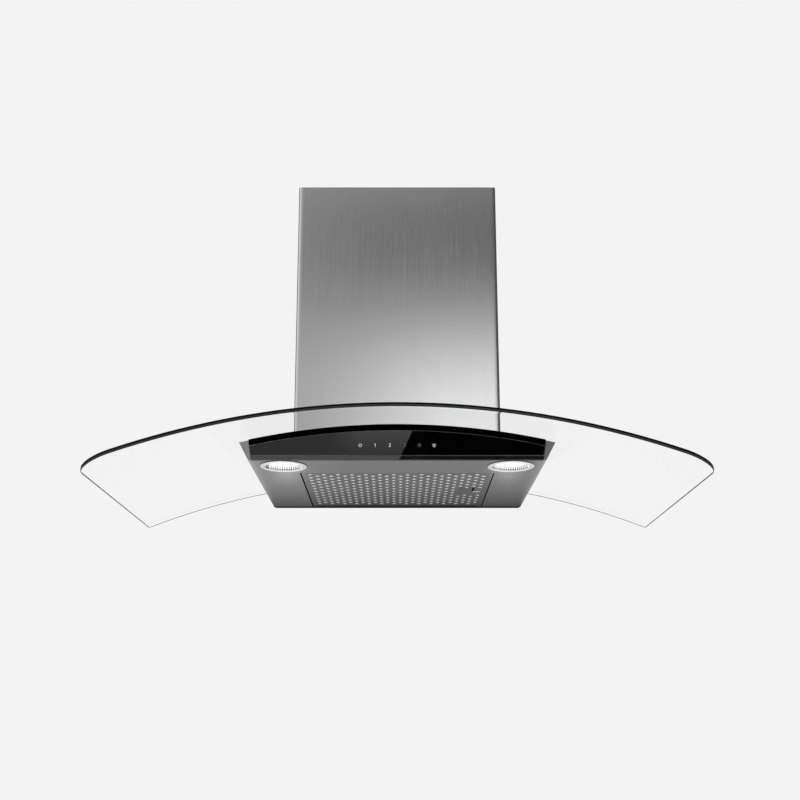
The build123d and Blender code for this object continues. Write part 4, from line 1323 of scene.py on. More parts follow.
@dataclass
class Lamp:
    """One round lamp: ring with a painted glow on a sleeve painted dark as shade, domed lens,
    faceted cup and base.

    The dome is given by its rim's height and its bulge, the ring's painted glow by its middle and
    its fall to the sides, and a dull facet's painted glint by its least value and its swing. The
    share of painted dashes that are dark is given over the turn, from 0 to 1 round the lamp.
    """

    side: str
    sign: int
    spacing: float = 0.347
    depth: float = 0.337
    bezel: float = 0.03675
    window: float = 0.0270
    neck: float = 0.0305
    bore: float = 0.0286
    lens: float = 0.0284
    proud: float = 0.0017
    flank: float = 0.0012
    soft: float = 0.0005
    lip: float = 0.001
    wall_reach: float = 0.0009
    sleeve: float = 0.022
    lens_top: float = 0.0015
    dome: tuple[float, float] = (0.0002, 0.0008)
    cup: float = 0.0125
    cup_gap: float = 0.0006
    throat: float = 0.0080
    groove: float = 0.0007
    dash_pairs: int = 48
    facets: int = 48
    bands: int = 5
    ring_glow: tuple[float, float] = (0.84, 0.42)
    dark_dash_share: Stops = ((0.0, 0.0), (0.04, 0.4), (0.10, 0.95), (0.38, 0.95), (0.42, 1.0),
                          (0.54, 1.0), (0.57, 0.0), (1.0, 0.0))
    dense_from: float = 0.42
    line_tone: float = 0.25
    dull_share: float = 0.3
    dull_tone: tuple[float, float] = (0.5, 0.4)
    lined_share: float = 0.3
    line_seed: int = 21
    facet_seed: int = 7

    @property
    def centre(self) -> tuple[float, float, float]:
        """Centre of the lamp in the underside."""
        return (self.sign * self.spacing / 2, -self.depth, UNDERSIDE)

    def build(self, palette: Palette) -> None:
        """The ring, the lens, the cup and the base.

        Args:
            palette: the hood's finishes.
        """
        self.build_ring(palette)
        self.build_lens(palette)
        self.build_cup(palette)
        palette.dress("cast_aluminium", f"lamp_base_{self.side}")

    def build_ring(self, palette: Palette) -> None:
        """Ring with its face and inner wall, and the sleeve that holds it.

        The ring's face has a painted glow that falls off towards its sides, and its inner wall
        carries painted dark dashes on a bright glow, which stand for the cup's glints, with the
        densest run at the left.

        Args:
            palette: the hood's finishes.
        """
        crown = np.radians(np.linspace(0, 90, 6))
        brim = self.bezel - self.flank
        outer = np.stack([brim - self.soft + self.soft * np.cos(crown),
                          -self.proud + self.soft * (1 - np.sin(crown))], -1)
        inner = np.stack([self.window + self.lip - self.lip * np.sin(crown),
                          -self.proud * np.cos(crown)], -1)
        face = np.concatenate([outer, inner, [(self.window, 0.0), (self.bore, 0.0)]])
        # The sleeve's profile takes in the ring's outer flank, and both are dark grey, a painted
        # shade at the ring's outer edge.
        sleeve = np.array([(self.bore, 0.0), (self.bore, self.sleeve), (self.neck, self.sleeve),
                           (self.neck, 0.0), (self.bezel, 0.0), (brim, -self.proud + self.soft)])
        piece = make_piece(
            f"lamp_ring_{self.side}",
            [turned(face, self.centre, 2 * self.dash_pairs),
             turned(sleeve, self.centre, 2 * self.dash_pairs, 1)],
            [palette["lamp_ring"], palette["lamp_edge_shade"]], ROOT,
            (f"lamp_bezel_{self.side}",))
        off = face_middles(piece, self.centre)
        reach = np.linalg.norm(off[:, :2], axis=1)
        middle, fall = self.ring_glow
        # Painted light: the ring's glow falls off towards its sides, and the inner wall takes the
        # painted dashes.
        glow = middle - fall * (off[:, 0] / self.bezel) ** 2
        write_glint(piece, np.where(reach < self.window + self.wall_reach, self.lines(off), glow))

    def build_lens(self, palette: Palette) -> None:
        """Lens with a flat top, whose lower face bulges down as a quarter of a cosine.

        Args:
            palette: the hood's finishes.
        """
        share = np.linspace(0, 1, 10)
        rim, bulge = self.dome
        dome = np.stack([self.lens * share, rim - bulge * np.cos(share * math.pi / 2)], -1)
        dome[0, 0] = ON_AXIS
        top = np.array([(self.lens, self.lens_top), (ON_AXIS, self.lens_top)])
        make_piece(f"lamp_window_{self.side}",
                   [turned(np.concatenate([dome, top]), self.centre, 64)],
                   [palette["lamp_glass"]], ROOT, (f"lamp_lens_{self.side}",))

    def lines(self, off: np.ndarray) -> np.ndarray:
        """Painted glow of the ring's inner wall: dark dashes on a bright ground, by the angle of
        a point, which stand for the cup's glints.

        Args:
            off: points measured from the lamp's centre.

        Returns:
            The glow at each point.
        """
        draw = np.random.default_rng(self.line_seed + self.sign)
        tone, kept = draw.random((2, 2 * self.dash_pairs))
        turn = np.arctan2(off[:, 1], off[:, 0]) / (2 * math.pi) % 1
        line = np.floor(turn * 2 * self.dash_pairs).astype(int)
        share = graded(turn, self.dark_dash_share)
        dark = ((line % 2 == 0) | (turn > self.dense_from)) & (kept[line] < share)
        return np.where(dark, self.line_tone * tone[line] ** 2, 1.0)

    def build_cup(self, palette: Palette) -> None:
        """Faceted bowl: quarter-ellipse bands of flat facets, each glowing with its own painted
        glint.

        Radius and height follow a quarter ellipse from the rim to the throat. Every second
        facet of a band is turned a little inward. The facets' glow is a painted reflection of the
        lamp:
        some facets glow duller by chance, and the lowest ones carry on the painted dashes of the
        ring's inner wall.

        Args:
            palette: the hood's finishes.
        """
        steps = 2 * self.facets
        angle = np.linspace(0, math.pi / 2, self.bands + 1)
        radius = self.throat + (self.lens - self.cup_gap - self.throat) * np.cos(angle)
        height = self.lens_top + self.cup * np.sin(angle)
        turn = np.linspace(0, 2 * math.pi, steps, endpoint=False)
        groove = np.where(np.arange(steps) % 2 == 0, 0.0, self.groove)
        r = radius[:, None] - groove[None, :] * np.sin(angle * 2)[:, None]
        points = np.stack([
            self.centre[0] + r * np.cos(turn), self.centre[1] + r * np.sin(turn),
            self.centre[2] + height[:, None] + 0 * turn], -1)
        bowl = grid_surface(points, round_columns=True)
        chip_height = self.lens_top + self.cup
        chip = turned(np.array([(self.throat, chip_height), (ON_AXIS, chip_height)]),
                      self.centre, steps)
        piece = make_piece(f"lamp_cup_{self.side}", [bowl, chip], [palette["lamp_mirror"]], ROOT,
                           (f"lamp_reflector_{self.side}",), sharp=12.0)
        middles = face_middles(piece, self.centre)
        count = len(middles)
        draw = np.random.default_rng(self.facet_seed + self.sign)
        low, swing = self.dull_tone
        # Painted glints: each facet glows, some duller by chance.
        glint = np.where(draw.random(count) < self.dull_share, low + swing * draw.random(count),
                         1.0)
        lowest = middles[:, 2] < self.lens_top + self.lined_share * self.cup
        write_glint(piece, np.where(lowest, self.lines(middles), glint))


@dataclass
class Filter:
    """Grease filter: perforated tray, finger pull and the pack behind.

    The pull is given by its centre's x, its width and its length, the slot by its width and
    length, and the lip by its width and height. The lip's place is its gap from the slot and
    how far it leans back. The side gaps are those on the left and on the right.
    """

    width: float = 0.304
    length: float = 0.277
    rear: float = 0.009
    thickness: float = 0.010
    sheet: float = 0.001
    corner: float = 0.003
    hole: float = 0.0023
    pitch: tuple[float, float] = (0.0220, 0.02155)
    columns: int = 13
    rows: int = 12
    field_offset: float = 0.008
    dish: float = 0.0014
    collar: float = 0.0014
    side_gap: tuple[float, float] = (0.0010, 0.0005)
    pull: tuple[float, float, float] = (0.1254, 0.0464, 0.051)
    pull_corner: float = 0.005
    pull_dip: float = 0.0022
    pull_reach: float = 0.010
    slot_size: tuple[float, float] = (0.0038, 0.026)
    slot_offset: float = 0.0025
    slot_gap: float = 0.0001
    pull_wall: float = 0.0008
    pull_start: float = 0.0002
    lip: tuple[float, float] = (0.013, 0.0014)
    lip_place: tuple[float, float] = (0.001, 0.0016)
    lip_sag: float = 0.15
    hole_sides: int = 12
    hole_shift: float = 0.25
    least_room: float = 0.0002
    inner_corner: float = 0.0004
    inner_pull_corner: float = 0.0015

    @property
    def centre(self) -> float:
        """Y of the filter's middle."""
        return -(self.rear + self.length / 2)

    def hole_centres(self) -> np.ndarray:
        """Centres of the two staggered grids of holes, less those at the finger pull.

        Returns:
            Pairs of (x, y).
        """
        sets = []
        for shift, rows in ((-self.hole_shift, self.rows), (self.hole_shift, self.rows - 1)):
            x = (np.arange(self.columns) - (self.columns - 1) / 2 + shift) * self.pitch[0]
            y = (np.arange(rows) - (rows - 1) / 2) * self.pitch[1]
            sets.append(np.stack(np.meshgrid(x, y + self.centre - self.field_offset), -1))
        places = np.concatenate([s.reshape(-1, 2) for s in sets])
        near_x = places[:, 0] > self.pull[0] - self.pull[1] / 2 - self.hole
        near_y = np.abs(places[:, 1] - self.centre) < self.pull[2] / 2 + self.hole
        return places[~(near_x & near_y)]

    def outline(self, inset: float) -> np.ndarray:
        """Tray's outline drawn in by an inset.

        Args:
            inset: how far it is drawn in.

        Returns:
            Its points.
        """
        left, right = (self.width / 2 - gap - inset for gap in self.side_gap)
        half = self.length / 2 - inset
        corner = max(self.corner - inset, self.inner_corner)
        return rounded_outline((-left, self.centre - half), (right, self.centre + half),
                               (corner,) * 4, side_steps=12, corner_steps=6)

    def pull_outline(self, inset: float) -> np.ndarray:
        """Finger pull's outline drawn in by an inset.

        Args:
            inset: how far it is drawn in.

        Returns:
            Its points.
        """
        x, half_width, half_length = self.pull[0], self.pull[1] / 2, self.pull[2] / 2
        wide, long = half_width - inset, half_length - inset
        corner = max(self.pull_corner - inset, self.inner_pull_corner)
        return rounded_outline((x - wide, self.centre - long), (x + wide, self.centre + long),
                               (corner,) * 4, side_steps=4, corner_steps=6)

    def dishes(self, centres: np.ndarray) -> np.ndarray:
        """Width of the cone round each hole, narrower beside the finger pull.

        Args:
            centres: the holes' centres.

        Returns:
            The least of the full width and the room between hole and pull.
        """
        past = np.abs(centres - (self.pull[0], self.centre)) - np.array(self.pull[1:]) / 2
        room = np.linalg.norm(np.maximum(past, 0.0), axis=1) - self.hole - self.least_room
        return np.minimum(self.dish, room)

    def collars(self, centres: np.ndarray, dish: np.ndarray) -> list[Surface]:
        """A drawn collar at every hole, as one array for all holes.

        Its profile goes from the flat sheet down a cone to its lip, and up the bore to the
        upper sheet. It is carried round each hole's centre.

        Args:
            centres: the holes' centres.
            dish: width of the cone round each hole.

        Returns:
            The cones, in a bright steel that paints their highlight, and the bores in a slot of
            their own, in a dark grey that paints the shade inside the holes.
        """
        turn = np.linspace(0, 2 * math.pi, self.hole_sides, endpoint=False)
        spoke = np.stack([np.cos(turn), np.sin(turn)], -1)
        drawn = np.array([(1.0, 0.0), (0.86, 0.0), (0.74, -0.1 * self.collar),
                          (0.12, -0.92 * self.collar), (0.0, -self.collar),
                          (0.0, 0.4 * self.sheet), (1.0, self.sheet)])
        radius = self.hole + dish[:, None] * drawn[None, :, 0]
        collar = np.empty((len(centres), len(drawn), self.hole_sides, 3))
        collar[..., :2] = centres[:, None, None] + radius[..., None, None] * spoke
        collar[..., 2] = UNDERSIDE + drawn[None, :, 1:]
        per_hole = len(drawn) * self.hole_sides
        faces = grid_faces(len(drawn), self.hole_sides, round_columns=True)
        every = faces[None] + np.arange(len(centres))[:, None, None] * per_hole
        cone = 4 * self.hole_sides
        points = collar.reshape(-1, 3)
        return [Surface(points, [every[:, :cone].reshape(-1, 4)], 1),
                Surface(points, [every[:, cone:].reshape(-1, 4)], 2)]

    def rim(self) -> Surface:
        """Tray's wall: a quarter-circle roll from the sheet, straight up, and a roll back.

        Returns:
            The wall.
        """
        roll = np.radians(np.linspace(0, 90, 5))
        path = [(self.sheet * (1 - math.sin(a)), self.sheet * (1 - math.cos(a))) for a in roll]
        path += [(0.0, self.thickness), (self.sheet, self.thickness)]
        path += [(self.sheet * (1 + (1 - math.cos(a))), self.sheet * (2 - math.sin(a)))
                 for a in roll]
        wall = np.stack([raised(self.outline(i), UNDERSIDE + h) for i, h in path])
        return grid_surface(wall, round_columns=True)

    def build_tray(self, palette: Palette) -> None:
        """Pressed tray: collars, two flat sheets round them, the rim and the pull's hem.

        Args:
            palette: the hood's finishes.
        """
        centres = self.hole_centres()
        dish = self.dishes(centres)
        rings = [circle(tuple(c), self.hole + d, self.hole_sides) for c, d in zip(centres, dish)]
        pull = self.pull_outline(0.0)
        surfaces = self.collars(centres, dish)
        for height, inset in ((0.0, self.sheet), (self.sheet, 2 * self.sheet)):
            flat, triangles = sheet_with_holes(self.outline(inset), [pull, *rings])
            surfaces.append(Surface(raised(flat, UNDERSIDE + height), [triangles]))
        surfaces.append(self.rim())
        hem = np.stack([raised(pull, UNDERSIDE + h) for h in (0.0, self.sheet)])
        surfaces.append(grid_surface(hem, round_columns=True))
        # The collars take a bright steel as painted highlight, and the bores a dark grey as
        # painted shade.
        finishes = [palette[name] for name in ("filter_steel", "collar_highlight_steel", "painted_hole_shade")]
        make_piece("filter_tray", surfaces, finishes, FILTER_BODY,
                   ("filter_face",), sharp=50.0)

    def build_pull(self, palette: Palette) -> None:
        """Pressed finger pull: a soft dish with a slot in its floor and a lip behind it.

        The dish deepens inward from its outline along a smooth step, and its upper side follows
        one wall higher.

        Args:
            palette: the hood's finishes.
        """
        wall, slot_x = self.pull_wall, self.pull[0] + self.slot_offset
        share = np.linspace(0, 1, 12)
        inset = self.pull_start + self.pull_reach * share
        rise = self.pull_dip * eased(share)
        below = np.stack([raised(self.pull_outline(i), UNDERSIDE + h)
                          for i, h in zip(inset, rise)])
        above = (below + np.array([0, 0, wall]))[::-1]
        half_width, half_length = self.slot_size[0] / 2, self.slot_size[1] / 2
        slot = rounded_outline((slot_x - half_width, self.centre - half_length),
                               (slot_x + half_width, self.centre + half_length),
                               (half_width - self.slot_gap,) * 4, side_steps=4)
        floor = UNDERSIDE + self.pull_dip
        flat, triangles = sheet_with_holes(self.pull_outline(inset[-1]), [slot])
        surfaces = [grid_surface(part, round_columns=True) for part in (
            below, above, np.stack([above[-1], below[0]]),
            np.stack([raised(slot, floor), raised(slot, floor + wall)]))]
        surfaces += [Surface(raised(flat, floor + h), [triangles]) for h in (0.0, wall)]
        make_piece("filter_finger_pull", surfaces, [palette["filter_steel"]], FILTER_BODY,
                   ("filter_pull",), sharp=40.0)
        self.build_lip(palette, slot_x, self.centre + half_length, floor)

    def build_lip(self, palette: Palette, left: float, slot_end: float, floor: float) -> None:
        """Small plate that hangs behind the slot, leaning back as a square and sagging.

        Args:
            palette: the finishes.
            left: x of its left end.
            slot_end: y of the slot's rear end.
            floor: height of the dish's floor.
        """
        wide, tall = self.lip
        gap, lean = self.lip_place
        u, v = np.meshgrid(np.linspace(0, 1, 9), np.linspace(0, 1, 7))
        front = np.stack([left + u * wide, slot_end + gap + lean * v * v,
                          floor - tall * v * (1 - self.lip_sag * (2 * u - 1) ** 2)], -1)
        lip = slab(front, front + np.array([0, self.pull_wall, 0]))
        # The lip takes the collars' bright steel, a painted highlight.
        piece = make_piece("filter_pull_lip", lip, [palette["collar_highlight_steel"]], FILTER_BODY)
        bevel(piece, width=0.0003)

    def build(self, palette: Palette) -> None:
        """Tray, pull and the dressed pack.

        Args:
            palette: the hood's finishes.
        """
        self.build_tray(palette)
        self.build_pull(palette)
        palette.dress("aluminium_mesh", "filter_mesh")
        palette.dress("frame_aluminium", "filter_back")
        palette.dress("filter_steel", "filter_tabs")


@dataclass
class Chimney:
    """Lower cover that stands on the pane, and the sliding upper cover inside it."""

    width: float = 0.335
    depth: float = 0.250
    top: float = 0.508
    sheet: float = 0.001
    corner: float = 0.0042
    rear_corner: float = 0.0016
    flange: float = 0.014
    foot_gap: float = 0.0002
    fold: float = 0.0004
    hem_share: float = 0.0006 / 0.45
    front_steps: int = 60

    def path(self, inset: float) -> np.ndarray:
        """Plan path of one face of the sheet, from flange to flange round the front.

        Straight runs and bends of the corner radii less the inset.

        Args:
            inset: how far the face lies inside the outer one.

        Returns:
            Its points.
        """
        half, front, rear = self.width / 2, self.corner, self.rear_corner
        bend = np.radians(np.linspace(0, 90, 7))
        r_front, r_rear = front - inset, max(rear - inset, LEAST_CORNER)
        flange_x = half - self.sheet - self.flange
        right = [np.array([(flange_x, -inset)])]
        right.append(np.stack([half - inset - r_rear + r_rear * np.sin(bend),
                               -inset - r_rear + r_rear * np.cos(bend)], -1))
        side = np.linspace(-rear, -self.depth + front, 14)[1:-1]
        right.append(np.stack([np.full(len(side), half - inset), side], -1))
        right.append(np.stack([half - inset - r_front + r_front * np.cos(bend),
                               -self.depth + inset + r_front - r_front * np.sin(bend)], -1))
        right = np.concatenate(right)
        across = np.linspace(half - front, 0, self.front_steps // 2)[1:]
        right = np.concatenate(
            [right, np.stack([across, np.full(len(across), -self.depth + inset)], -1)])
        return np.concatenate([right, right[-2::-1] * np.array([-1, 1])])

    def build(self, palette: Palette) -> None:
        """A closed sheet profile carried up from the pane's arc to the top.

        Each point starts on the arc of the pane's upper face over its own x.

        Args:
            palette: the hood's finishes.
        """
        outer, inner = self.path(0.0), self.path(self.sheet)
        loop = np.concatenate([outer, inner[::-1]])
        rise = np.concatenate([[0.0, self.hem_share], np.linspace(0.01, 0.99, 24),
                               [1 - self.hem_share, 1.0]])[:, None]
        foot = arch_height(loop[:, 0], BEND_RADIUS + PANE) + self.foot_gap
        height = foot[None] * (1 - rise) + (UNDERSIDE + self.top) * rise
        points = np.concatenate(
            [np.broadcast_to(loop, (len(rise), *loop.shape)), height[..., None]], -1)
        surfaces = [grid_surface(points, round_columns=True)]
        count = len(outer)
        for row in (points[0], points[-1]):
            surfaces.append(grid_surface(np.stack([row[:count], row[count:][::-1]])))
        make_piece("chimney_cover", surfaces, [palette["brushed_steel"]], ROOT,
                   ("chimney_lower",), sharp=40.0)
        softened("chimney_upper", palette["brushed_steel"], COVER_BODY,
                 self.fold)
        palette.dress("galvanised_steel", "ceiling_bracket", "side_brackets")


@dataclass
class Body:
    """Tapered steel body and what is fixed inside it."""

    fold: float = 0.0009
    shade_strip_half: float = 0.2205
    shade_strip_deep: float = 0.0018
    shade_strip_drop: float = 0.0017
    shade_strip_tuck: float = 0.0005
    rim_lean: float = 1.2 * FRONT_LEAN

    def build(self, palette: Palette) -> None:
        """The folded shell, whose front rim takes a darker copy of its steel as painted shade, a
        black strip at the wall that paints the shade in the gap behind the body, and the inner
        parts.

        Args:
            palette: the hood's finishes.
        """
        shell = softened("body_shell", palette["body_steel"], ROOT, self.fold)
        # Faces that lean to the front take the darker copy of the steel, a painted shade on the
        # rim.
        shell.data.materials.append(palette["shaded_rim_steel"])
        for face in shell.data.polygons:
            if face.normal.y < -math.cos(self.rim_lean):
                face.material_index = 1
        # A black strip along the wall under the body's rear edge, which paints the shade in the
        # gap between body and wall.
        u, v = np.meshgrid(np.linspace(-1, 1, 24), np.linspace(0, 1, 3))
        front = np.stack([u * self.shade_strip_half, 0 * u - self.shade_strip_deep,
                          UNDERSIDE + self.shade_strip_tuck - self.shade_strip_drop * v], -1)
        seal = make_piece("wall_gap_shade_strip", slab(front, front + np.array([0, self.shade_strip_deep, 0])),
                          [palette["seal_rubber"]], ROOT)
        bevel(seal, width=0.0004)
        palette.dress("galvanised_steel", "support_frame", "magnet_brackets")
        palette.dress("magnet_grey", "filter_magnets")
        palette.dress("black_plastic", "control_tray")
        palette.dress("board_green", "control_board")
        palette.dress("white_plastic", "led_driver")


@dataclass
class Works:
    """Motor housing, blower, outlet and electrics."""

    fold: float = 0.0006

    def build(self, palette: Palette) -> None:
        """Dresses each part.

        Args:
            palette: the hood's finishes.
        """
        for node in ("motor_housing", "housing_cover"):
            softened(node, palette["galvanised_steel"], ROOT, self.fold)
        palette.dress("galvanised_steel", "cover_lips", "motor_bracket")
        palette.dress("zinc_screw", "cover_screws", "fan_shaft", "damper_pin")
        palette.dress("grey_plastic", "scroll_left", "scroll_right", "outlet_duct")
        palette.dress("black_plastic", "impeller", "outlet_spigot", "damper_front",
                      "damper_rear")
        palette.dress("white_plastic", "terminal_box", "capacitor")
        palette.dress("motor_grey", "motor")
        palette.dress("black_rubber", "cable_grommet")


# ---------------------------------------------------------------- studio


LEFT_BANDS: Stops = (
    (-1.0, 0.9), (-0.30, 0.85), (0.10, 0.70), (0.25, 0.42), (0.29, 0.57), (0.325, 0.50),
    (0.363, 0.35), (0.403, 0.16), (0.43, 0.26), (0.47, 0.48), (0.55, 0.5), (0.70, 0.8),
    (1.0, 1.0),
)
RIGHT_BANDS: Stops = (
    (-1.0, 0.9), (-0.30, 0.85), (0.10, 1.6), (0.25, 2.05), (0.29, 1.60), (0.325, 1.05),
    (0.363, 0.20), (0.40, 0.0), (0.43, 0.09), (0.47, 0.50), (0.55, 0.46), (0.70, 0.8),
    (1.0, 1.0),
)
BACK_BANDS: Stops = (
    (-1.0, 0.9), (-0.1, 0.88), (0.10, 0.85), (0.20, 0.10), (0.50, 0.10), (0.62, 0.9),
    (1.0, 1.0),
)


@dataclass(frozen=True)
class Glow:
    """A round patch of light on a card: its middle, its reach and its brightness."""

    middle: tuple[float, float]
    reach: tuple[float, float]
    level: float

    def at(self, x: np.ndarray, z: np.ndarray) -> np.ndarray:
        """Brightness at each place, which falls off as a bell curve on both sides alike.

        Args:
            x: places across.
            z: heights.

        Returns:
            The brightness.
        """
        off = ((np.abs(x) - self.middle[0]) / self.reach[0]) ** 2 + (
            (z - self.middle[1]) / self.reach[1]) ** 2
        return self.level * np.exp(-off)


@dataclass
class Studio:
    """Pale floor, soft light, surroundings and camera.

    The flag's front and rear ends are given by their left, their right and their y, the front
    card's fade by its start and its width, and the rear card's rise by its start, its width and
    its gain on the left. Levels are given as pairs of place and brightness.
    """

    background: float = 0.896
    ambient: float = 0.62
    floor_height: float = -1.15
    floor_radius: float = 2.5
    camera_place: tuple[float, float, float] = (0.0, -2.0233, -0.6374)
    camera_pitch: float = 13.84
    camera_lens: float = 51.0
    camera_shift: tuple[float, float] = (0.0035, 0.06)
    flag_front: tuple[float, float, float] = (0.401, 0.592, -2.4)
    flag_rear: tuple[float, float, float] = (-0.236, 0.251, -0.5)
    front_levels: Stops = ((-1.325, 1.36), (-1.24, 0.80))
    front_left: float = 0.655
    front_fade: tuple[float, float] = (-0.20, 0.12)
    rail_level: float = 0.92
    rail_band: Stops = ((-1.24, 0.0), (-1.232, 1.0))
    floor_levels: Stops = ((-0.8, 1.4), (-0.5, 1.35), (-0.18, 0.45), (0.2, 0.16))
    rear_y: float = 0.02
    rear_top: float = -0.2490
    rear_height: float = 0.2025
    rear_half: Stops = ((-0.45, 0.31), (-0.343, 0.277), (-0.254, 0.2255), (-0.25, 0.2225))
    rear_levels: Stops = ((-0.45, 0.32), (-0.343, 0.295), (-0.2984, 0.28), (-0.2867, 0.245),
                          (-0.2772, 0.19), (-0.2664, 0.148), (-0.2538, 0.09), (-0.2515, 0.06))
    rear_rise: tuple[float, float, float] = (0.2, 0.6, 0.22)
    rear_glow: Glow = Glow((0.2033, -0.324), (0.028, 0.008), 0.8)

    def build(self) -> None:
        """Floor, cards, lamps, world and camera."""
        self.build_floor()
        self.build_flag()
        self.build_front_card()
        self.build_floor_card()
        self.build_rear_card()
        self.build_lights()
        self.build_world()
        self.build_camera()

    def build_floor(self) -> None:
        """Round pale floor that fades into the background."""
        rows, steps = 12, 64
        rings = np.linspace(0.02, 1.0, rows)[:, None] * self.floor_radius
        angle = np.linspace(0, 2 * math.pi, steps, endpoint=False)[None]
        points = np.stack([rings * np.cos(angle), rings * np.sin(angle),
                           np.full((rows, steps), self.floor_height)], -1)
        faces = grid_faces(rows, steps, round_columns=True)
        mesh = bpy.data.meshes.new("floor")
        mesh.from_pydata(points.reshape(-1, 3).tolist(), [],
                         faces.tolist() + [list(range(steps))[::-1]])
        floor = bpy.data.objects.new("floor", mesh)
        bpy.context.scene.collection.objects.link(floor)
        mesh.materials.append(FadingFloor("floor", self.floor_radius).build())

    def card(self, name: str, points: np.ndarray, levels: np.ndarray) -> None:
        """A card that only reflections show, glowing by its own level at each point.

        Args:
            name: the card's name.
            points: grid of its points, of shape (rows, columns, 3).
            levels: brightness at each point, of shape (rows, columns).
        """
        mesh = bpy.data.meshes.new(name)
        faces = grid_faces(*points.shape[:2])
        mesh.from_pydata(points.reshape(-1, 3).tolist(), [], faces.tolist())
        layer = mesh.attributes.new("level", "FLOAT", "POINT")
        layer.data.foreach_set("value", levels.ravel().astype(np.float32))
        card = bpy.data.objects.new(name, mesh)
        bpy.context.scene.collection.objects.link(card)
        mesh.materials.append(CardGlow(name).build())
        card.visible_camera = False
        card.visible_diffuse = False
        card.visible_transmission = False
        card.visible_shadow = False

    def on_floor(self, x: np.ndarray, y: np.ndarray, lift: float) -> np.ndarray:
        """Points a little over the floor."""
        return np.stack([x, y, 0 * x + self.floor_height + lift], -1)

    def build_flag(self) -> None:
        """Black card on the floor, whose slanted edge darkens the right half of the fascia.

        Its right edge stands where the fascia's right end mirrors the floor.
        """
        corners = np.array([[(left, y), (right, y)]
                            for left, right, y in (self.flag_front, self.flag_rear)])
        self.card("flag", self.on_floor(corners[..., 0], corners[..., 1], lift=0.002),
                  np.zeros((2, 2)))

    def build_front_card(self) -> None:
        """Card on the floor in front, which the fascia mirrors beside the flag.

        The level falls from the part that the glass mirrors high up to the part that it mirrors
        low down, fades to an even grey on the left along a smooth step, and ends in a paler
        band that the rail mirrors.
        """
        x, y = np.meshgrid(np.linspace(-0.6, 0.3, 60), np.linspace(-1.45, -1.10, 90))
        start, width = self.front_fade
        share = eased(np.clip((x - start) / width, 0, 1))
        level = self.front_left + (graded(y, self.front_levels) - self.front_left) * share
        rail = graded(y, self.rail_band)
        level = level * (1 - rail) + self.rail_level * rail
        self.card("front_card", self.on_floor(x, y, lift=0.0015), level)

    def build_floor_card(self) -> None:
        """Card on the floor under the hood, whose level falls off towards the wall."""
        x, y = np.meshgrid(np.linspace(-1.2, 1.2, 3), np.linspace(-0.9, 0.5, 40))
        self.card("floor_card", self.on_floor(x, y, lift=0.001), graded(y, self.floor_levels))

    def build_rear_card(self) -> None:
        """Graded card upright behind the underside, which falls off towards the wall.

        The level follows the height, rises towards the left side along a smooth step, and has a
        round patch on each side that stands for the lamp's glow on the steel behind it.
        """
        down, across = np.meshgrid(np.linspace(0, 1, 60), np.linspace(-1, 1, 80), indexing="ij")
        z = self.rear_top - self.rear_height * down
        x = across * graded(z, self.rear_half)
        start, width, gain = self.rear_rise
        rise = eased(np.clip((np.abs(across) - start) / width, 0, 1))
        level = graded(z, self.rear_levels) * (1 + np.where(across < 0, gain, 0.0) * rise)
        self.card("rear_card", np.stack([x, np.full(x.shape, self.rear_y), z], -1),
                  level + self.rear_glow.at(x, z))

    def build_lights(self) -> None:
        """Two large soft lamps and one from above, all aimed at the hood."""
        lamps = (
            ("key", (-1.7, -2.4, 1.5), 1.6, 34.0),
            ("fill", (2.2, -1.6, 0.6), 1.4, 12.0),
            ("top", (0.0, -0.3, 2.4), 1.6, 16.0),
        )
        for name, place, size, power in lamps:
            data = bpy.data.lights.new(name, "AREA")
            data.shape, data.size, data.energy = "SQUARE", size, power
            lamp = bpy.data.objects.new(name, data)
            lamp.location = place
            aim = Vector((0.0, -0.2, 0.0)) - Vector(place)
            lamp.rotation_euler = aim.to_track_quat("-Z", "Y").to_euler()
            lamp.visible_glossy = False
            bpy.context.scene.collection.objects.link(lamp)

    def build_world(self) -> None:
        """Pale background for the eye and through glass, graded surroundings in reflections.

        In front a bright band stands low, brighter on the right than on the left, with a dark
        one over it and a pale one above. The same heights are dim on the right side and
        behind, and all else is pale.
        """
        world = bpy.data.worlds.new("studio")
        bpy.context.scene.world = world
        world.use_nodes = True
        tree = world.node_tree
        tree.nodes.clear()
        wire = Wiring(tree)
        direction = wire.add("TexCoord").outputs["Generated"]
        across, deep, up = wire.add("SeparateXYZ", {0: direction}).outputs
        height = wire.spread(up, -1.0, 1.0)

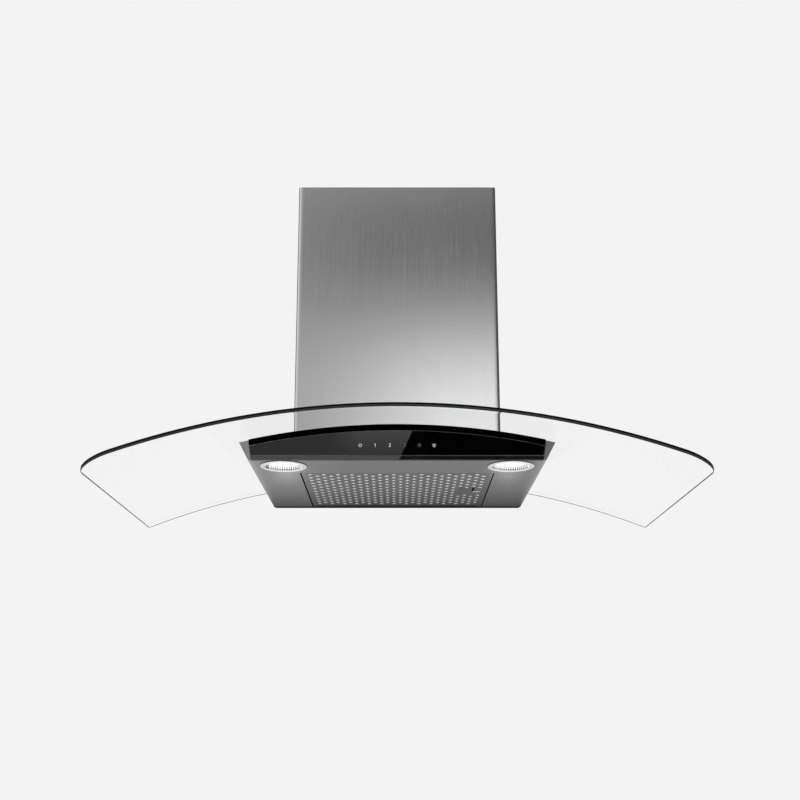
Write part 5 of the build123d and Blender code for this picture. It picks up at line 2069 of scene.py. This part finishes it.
        def bands(stops: Stops) -> bpy.types.NodeSocket:
            """Brightness over the sine of the elevation, eased between its stops.

            Args:
                stops: pairs of (sine of the elevation, brightness).

            Returns:
                The brightness as a grey.
            """
            ramp = wire.add("ValToRGB", {0: height})
            ramp.color_ramp.interpolation = "EASE"
            colours = ramp.color_ramp.elements
            while len(colours) > 1:
                colours.remove(colours[-1])
            colours[0].position = (stops[0][0] + 1) / 2
            colours[0].color = grey(stops[0][1])
            for place, level in stops[1:]:
                colours.new((place + 1) / 2).color = grey(level)
            return ramp.outputs[0]

        front = wire.blend(wire.spread(across, -0.06, 0.03), bands(LEFT_BANDS),
                           bands(RIGHT_BANDS))
        front = wire.blend(wire.spread(across, -0.30, -0.12, 1.0, 0.0), front, grey(1.05))
        glossy = wire.blend(wire.spread(deep, -0.25, 0.25), front, bands(BACK_BANDS))
        at_height = wire.maths("MULTIPLY", wire.spread(up, 0.12, 0.20),
                               wire.spread(up, 0.50, 0.60, 1.0, 0.0))
        dim = wire.maths("MULTIPLY", wire.spread(across, 0.12, 0.26), at_height)
        glossy = wire.blend(dim, glossy, grey(0.10))
        path = wire.add("LightPath")
        seen = wire.maths("MAXIMUM", path.outputs["Is Camera Ray"],
                          path.outputs["Is Transmission Ray"])
        lit = wire.blend(path.outputs["Is Glossy Ray"], grey(self.ambient), glossy)
        shown = wire.blend(seen, lit, grey(self.background))
        sky = wire.add("Background", {"Color": shown, "Strength": 1.0})
        out = wire.add("OutputWorld")
        tree.links.new(sky.outputs[0], out.inputs["Surface"])

    def build_camera(self) -> None:
        """Camera low in front, looking up."""
        data = bpy.data.cameras.new("camera")
        data.lens, data.sensor_width = self.camera_lens, 36.0
        data.shift_x, data.shift_y = self.camera_shift
        data.clip_start = 0.01
        camera = bpy.data.objects.new("camera", data)
        camera.location = self.camera_place
        camera.rotation_euler = (math.radians(90.0 + self.camera_pitch), 0.0, 0.0)
        bpy.context.scene.collection.objects.link(camera)
        bpy.context.scene.camera = camera


def write_sizes() -> None:
    """Brings the view layer up to date."""
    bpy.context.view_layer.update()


def main() -> None:
    """Builds the hood's sub-assemblies in order, then the studio round it."""
    logging.basicConfig(level=logging.INFO, format="%(message)s")
    palette = Palette()
    palette.mix()
    for part in (Body(), Canopy(), Fascia(), Lamp("left", -1), Lamp("right", 1), Filter(),
                 Chimney(), Works()):
        part.build(palette)
        log.info("built %s", type(part).__name__)
    Studio().build()
    bpy.context.scene.view_settings.view_transform = "Standard"
    write_sizes()


if __name__ == "__main__":
    main()
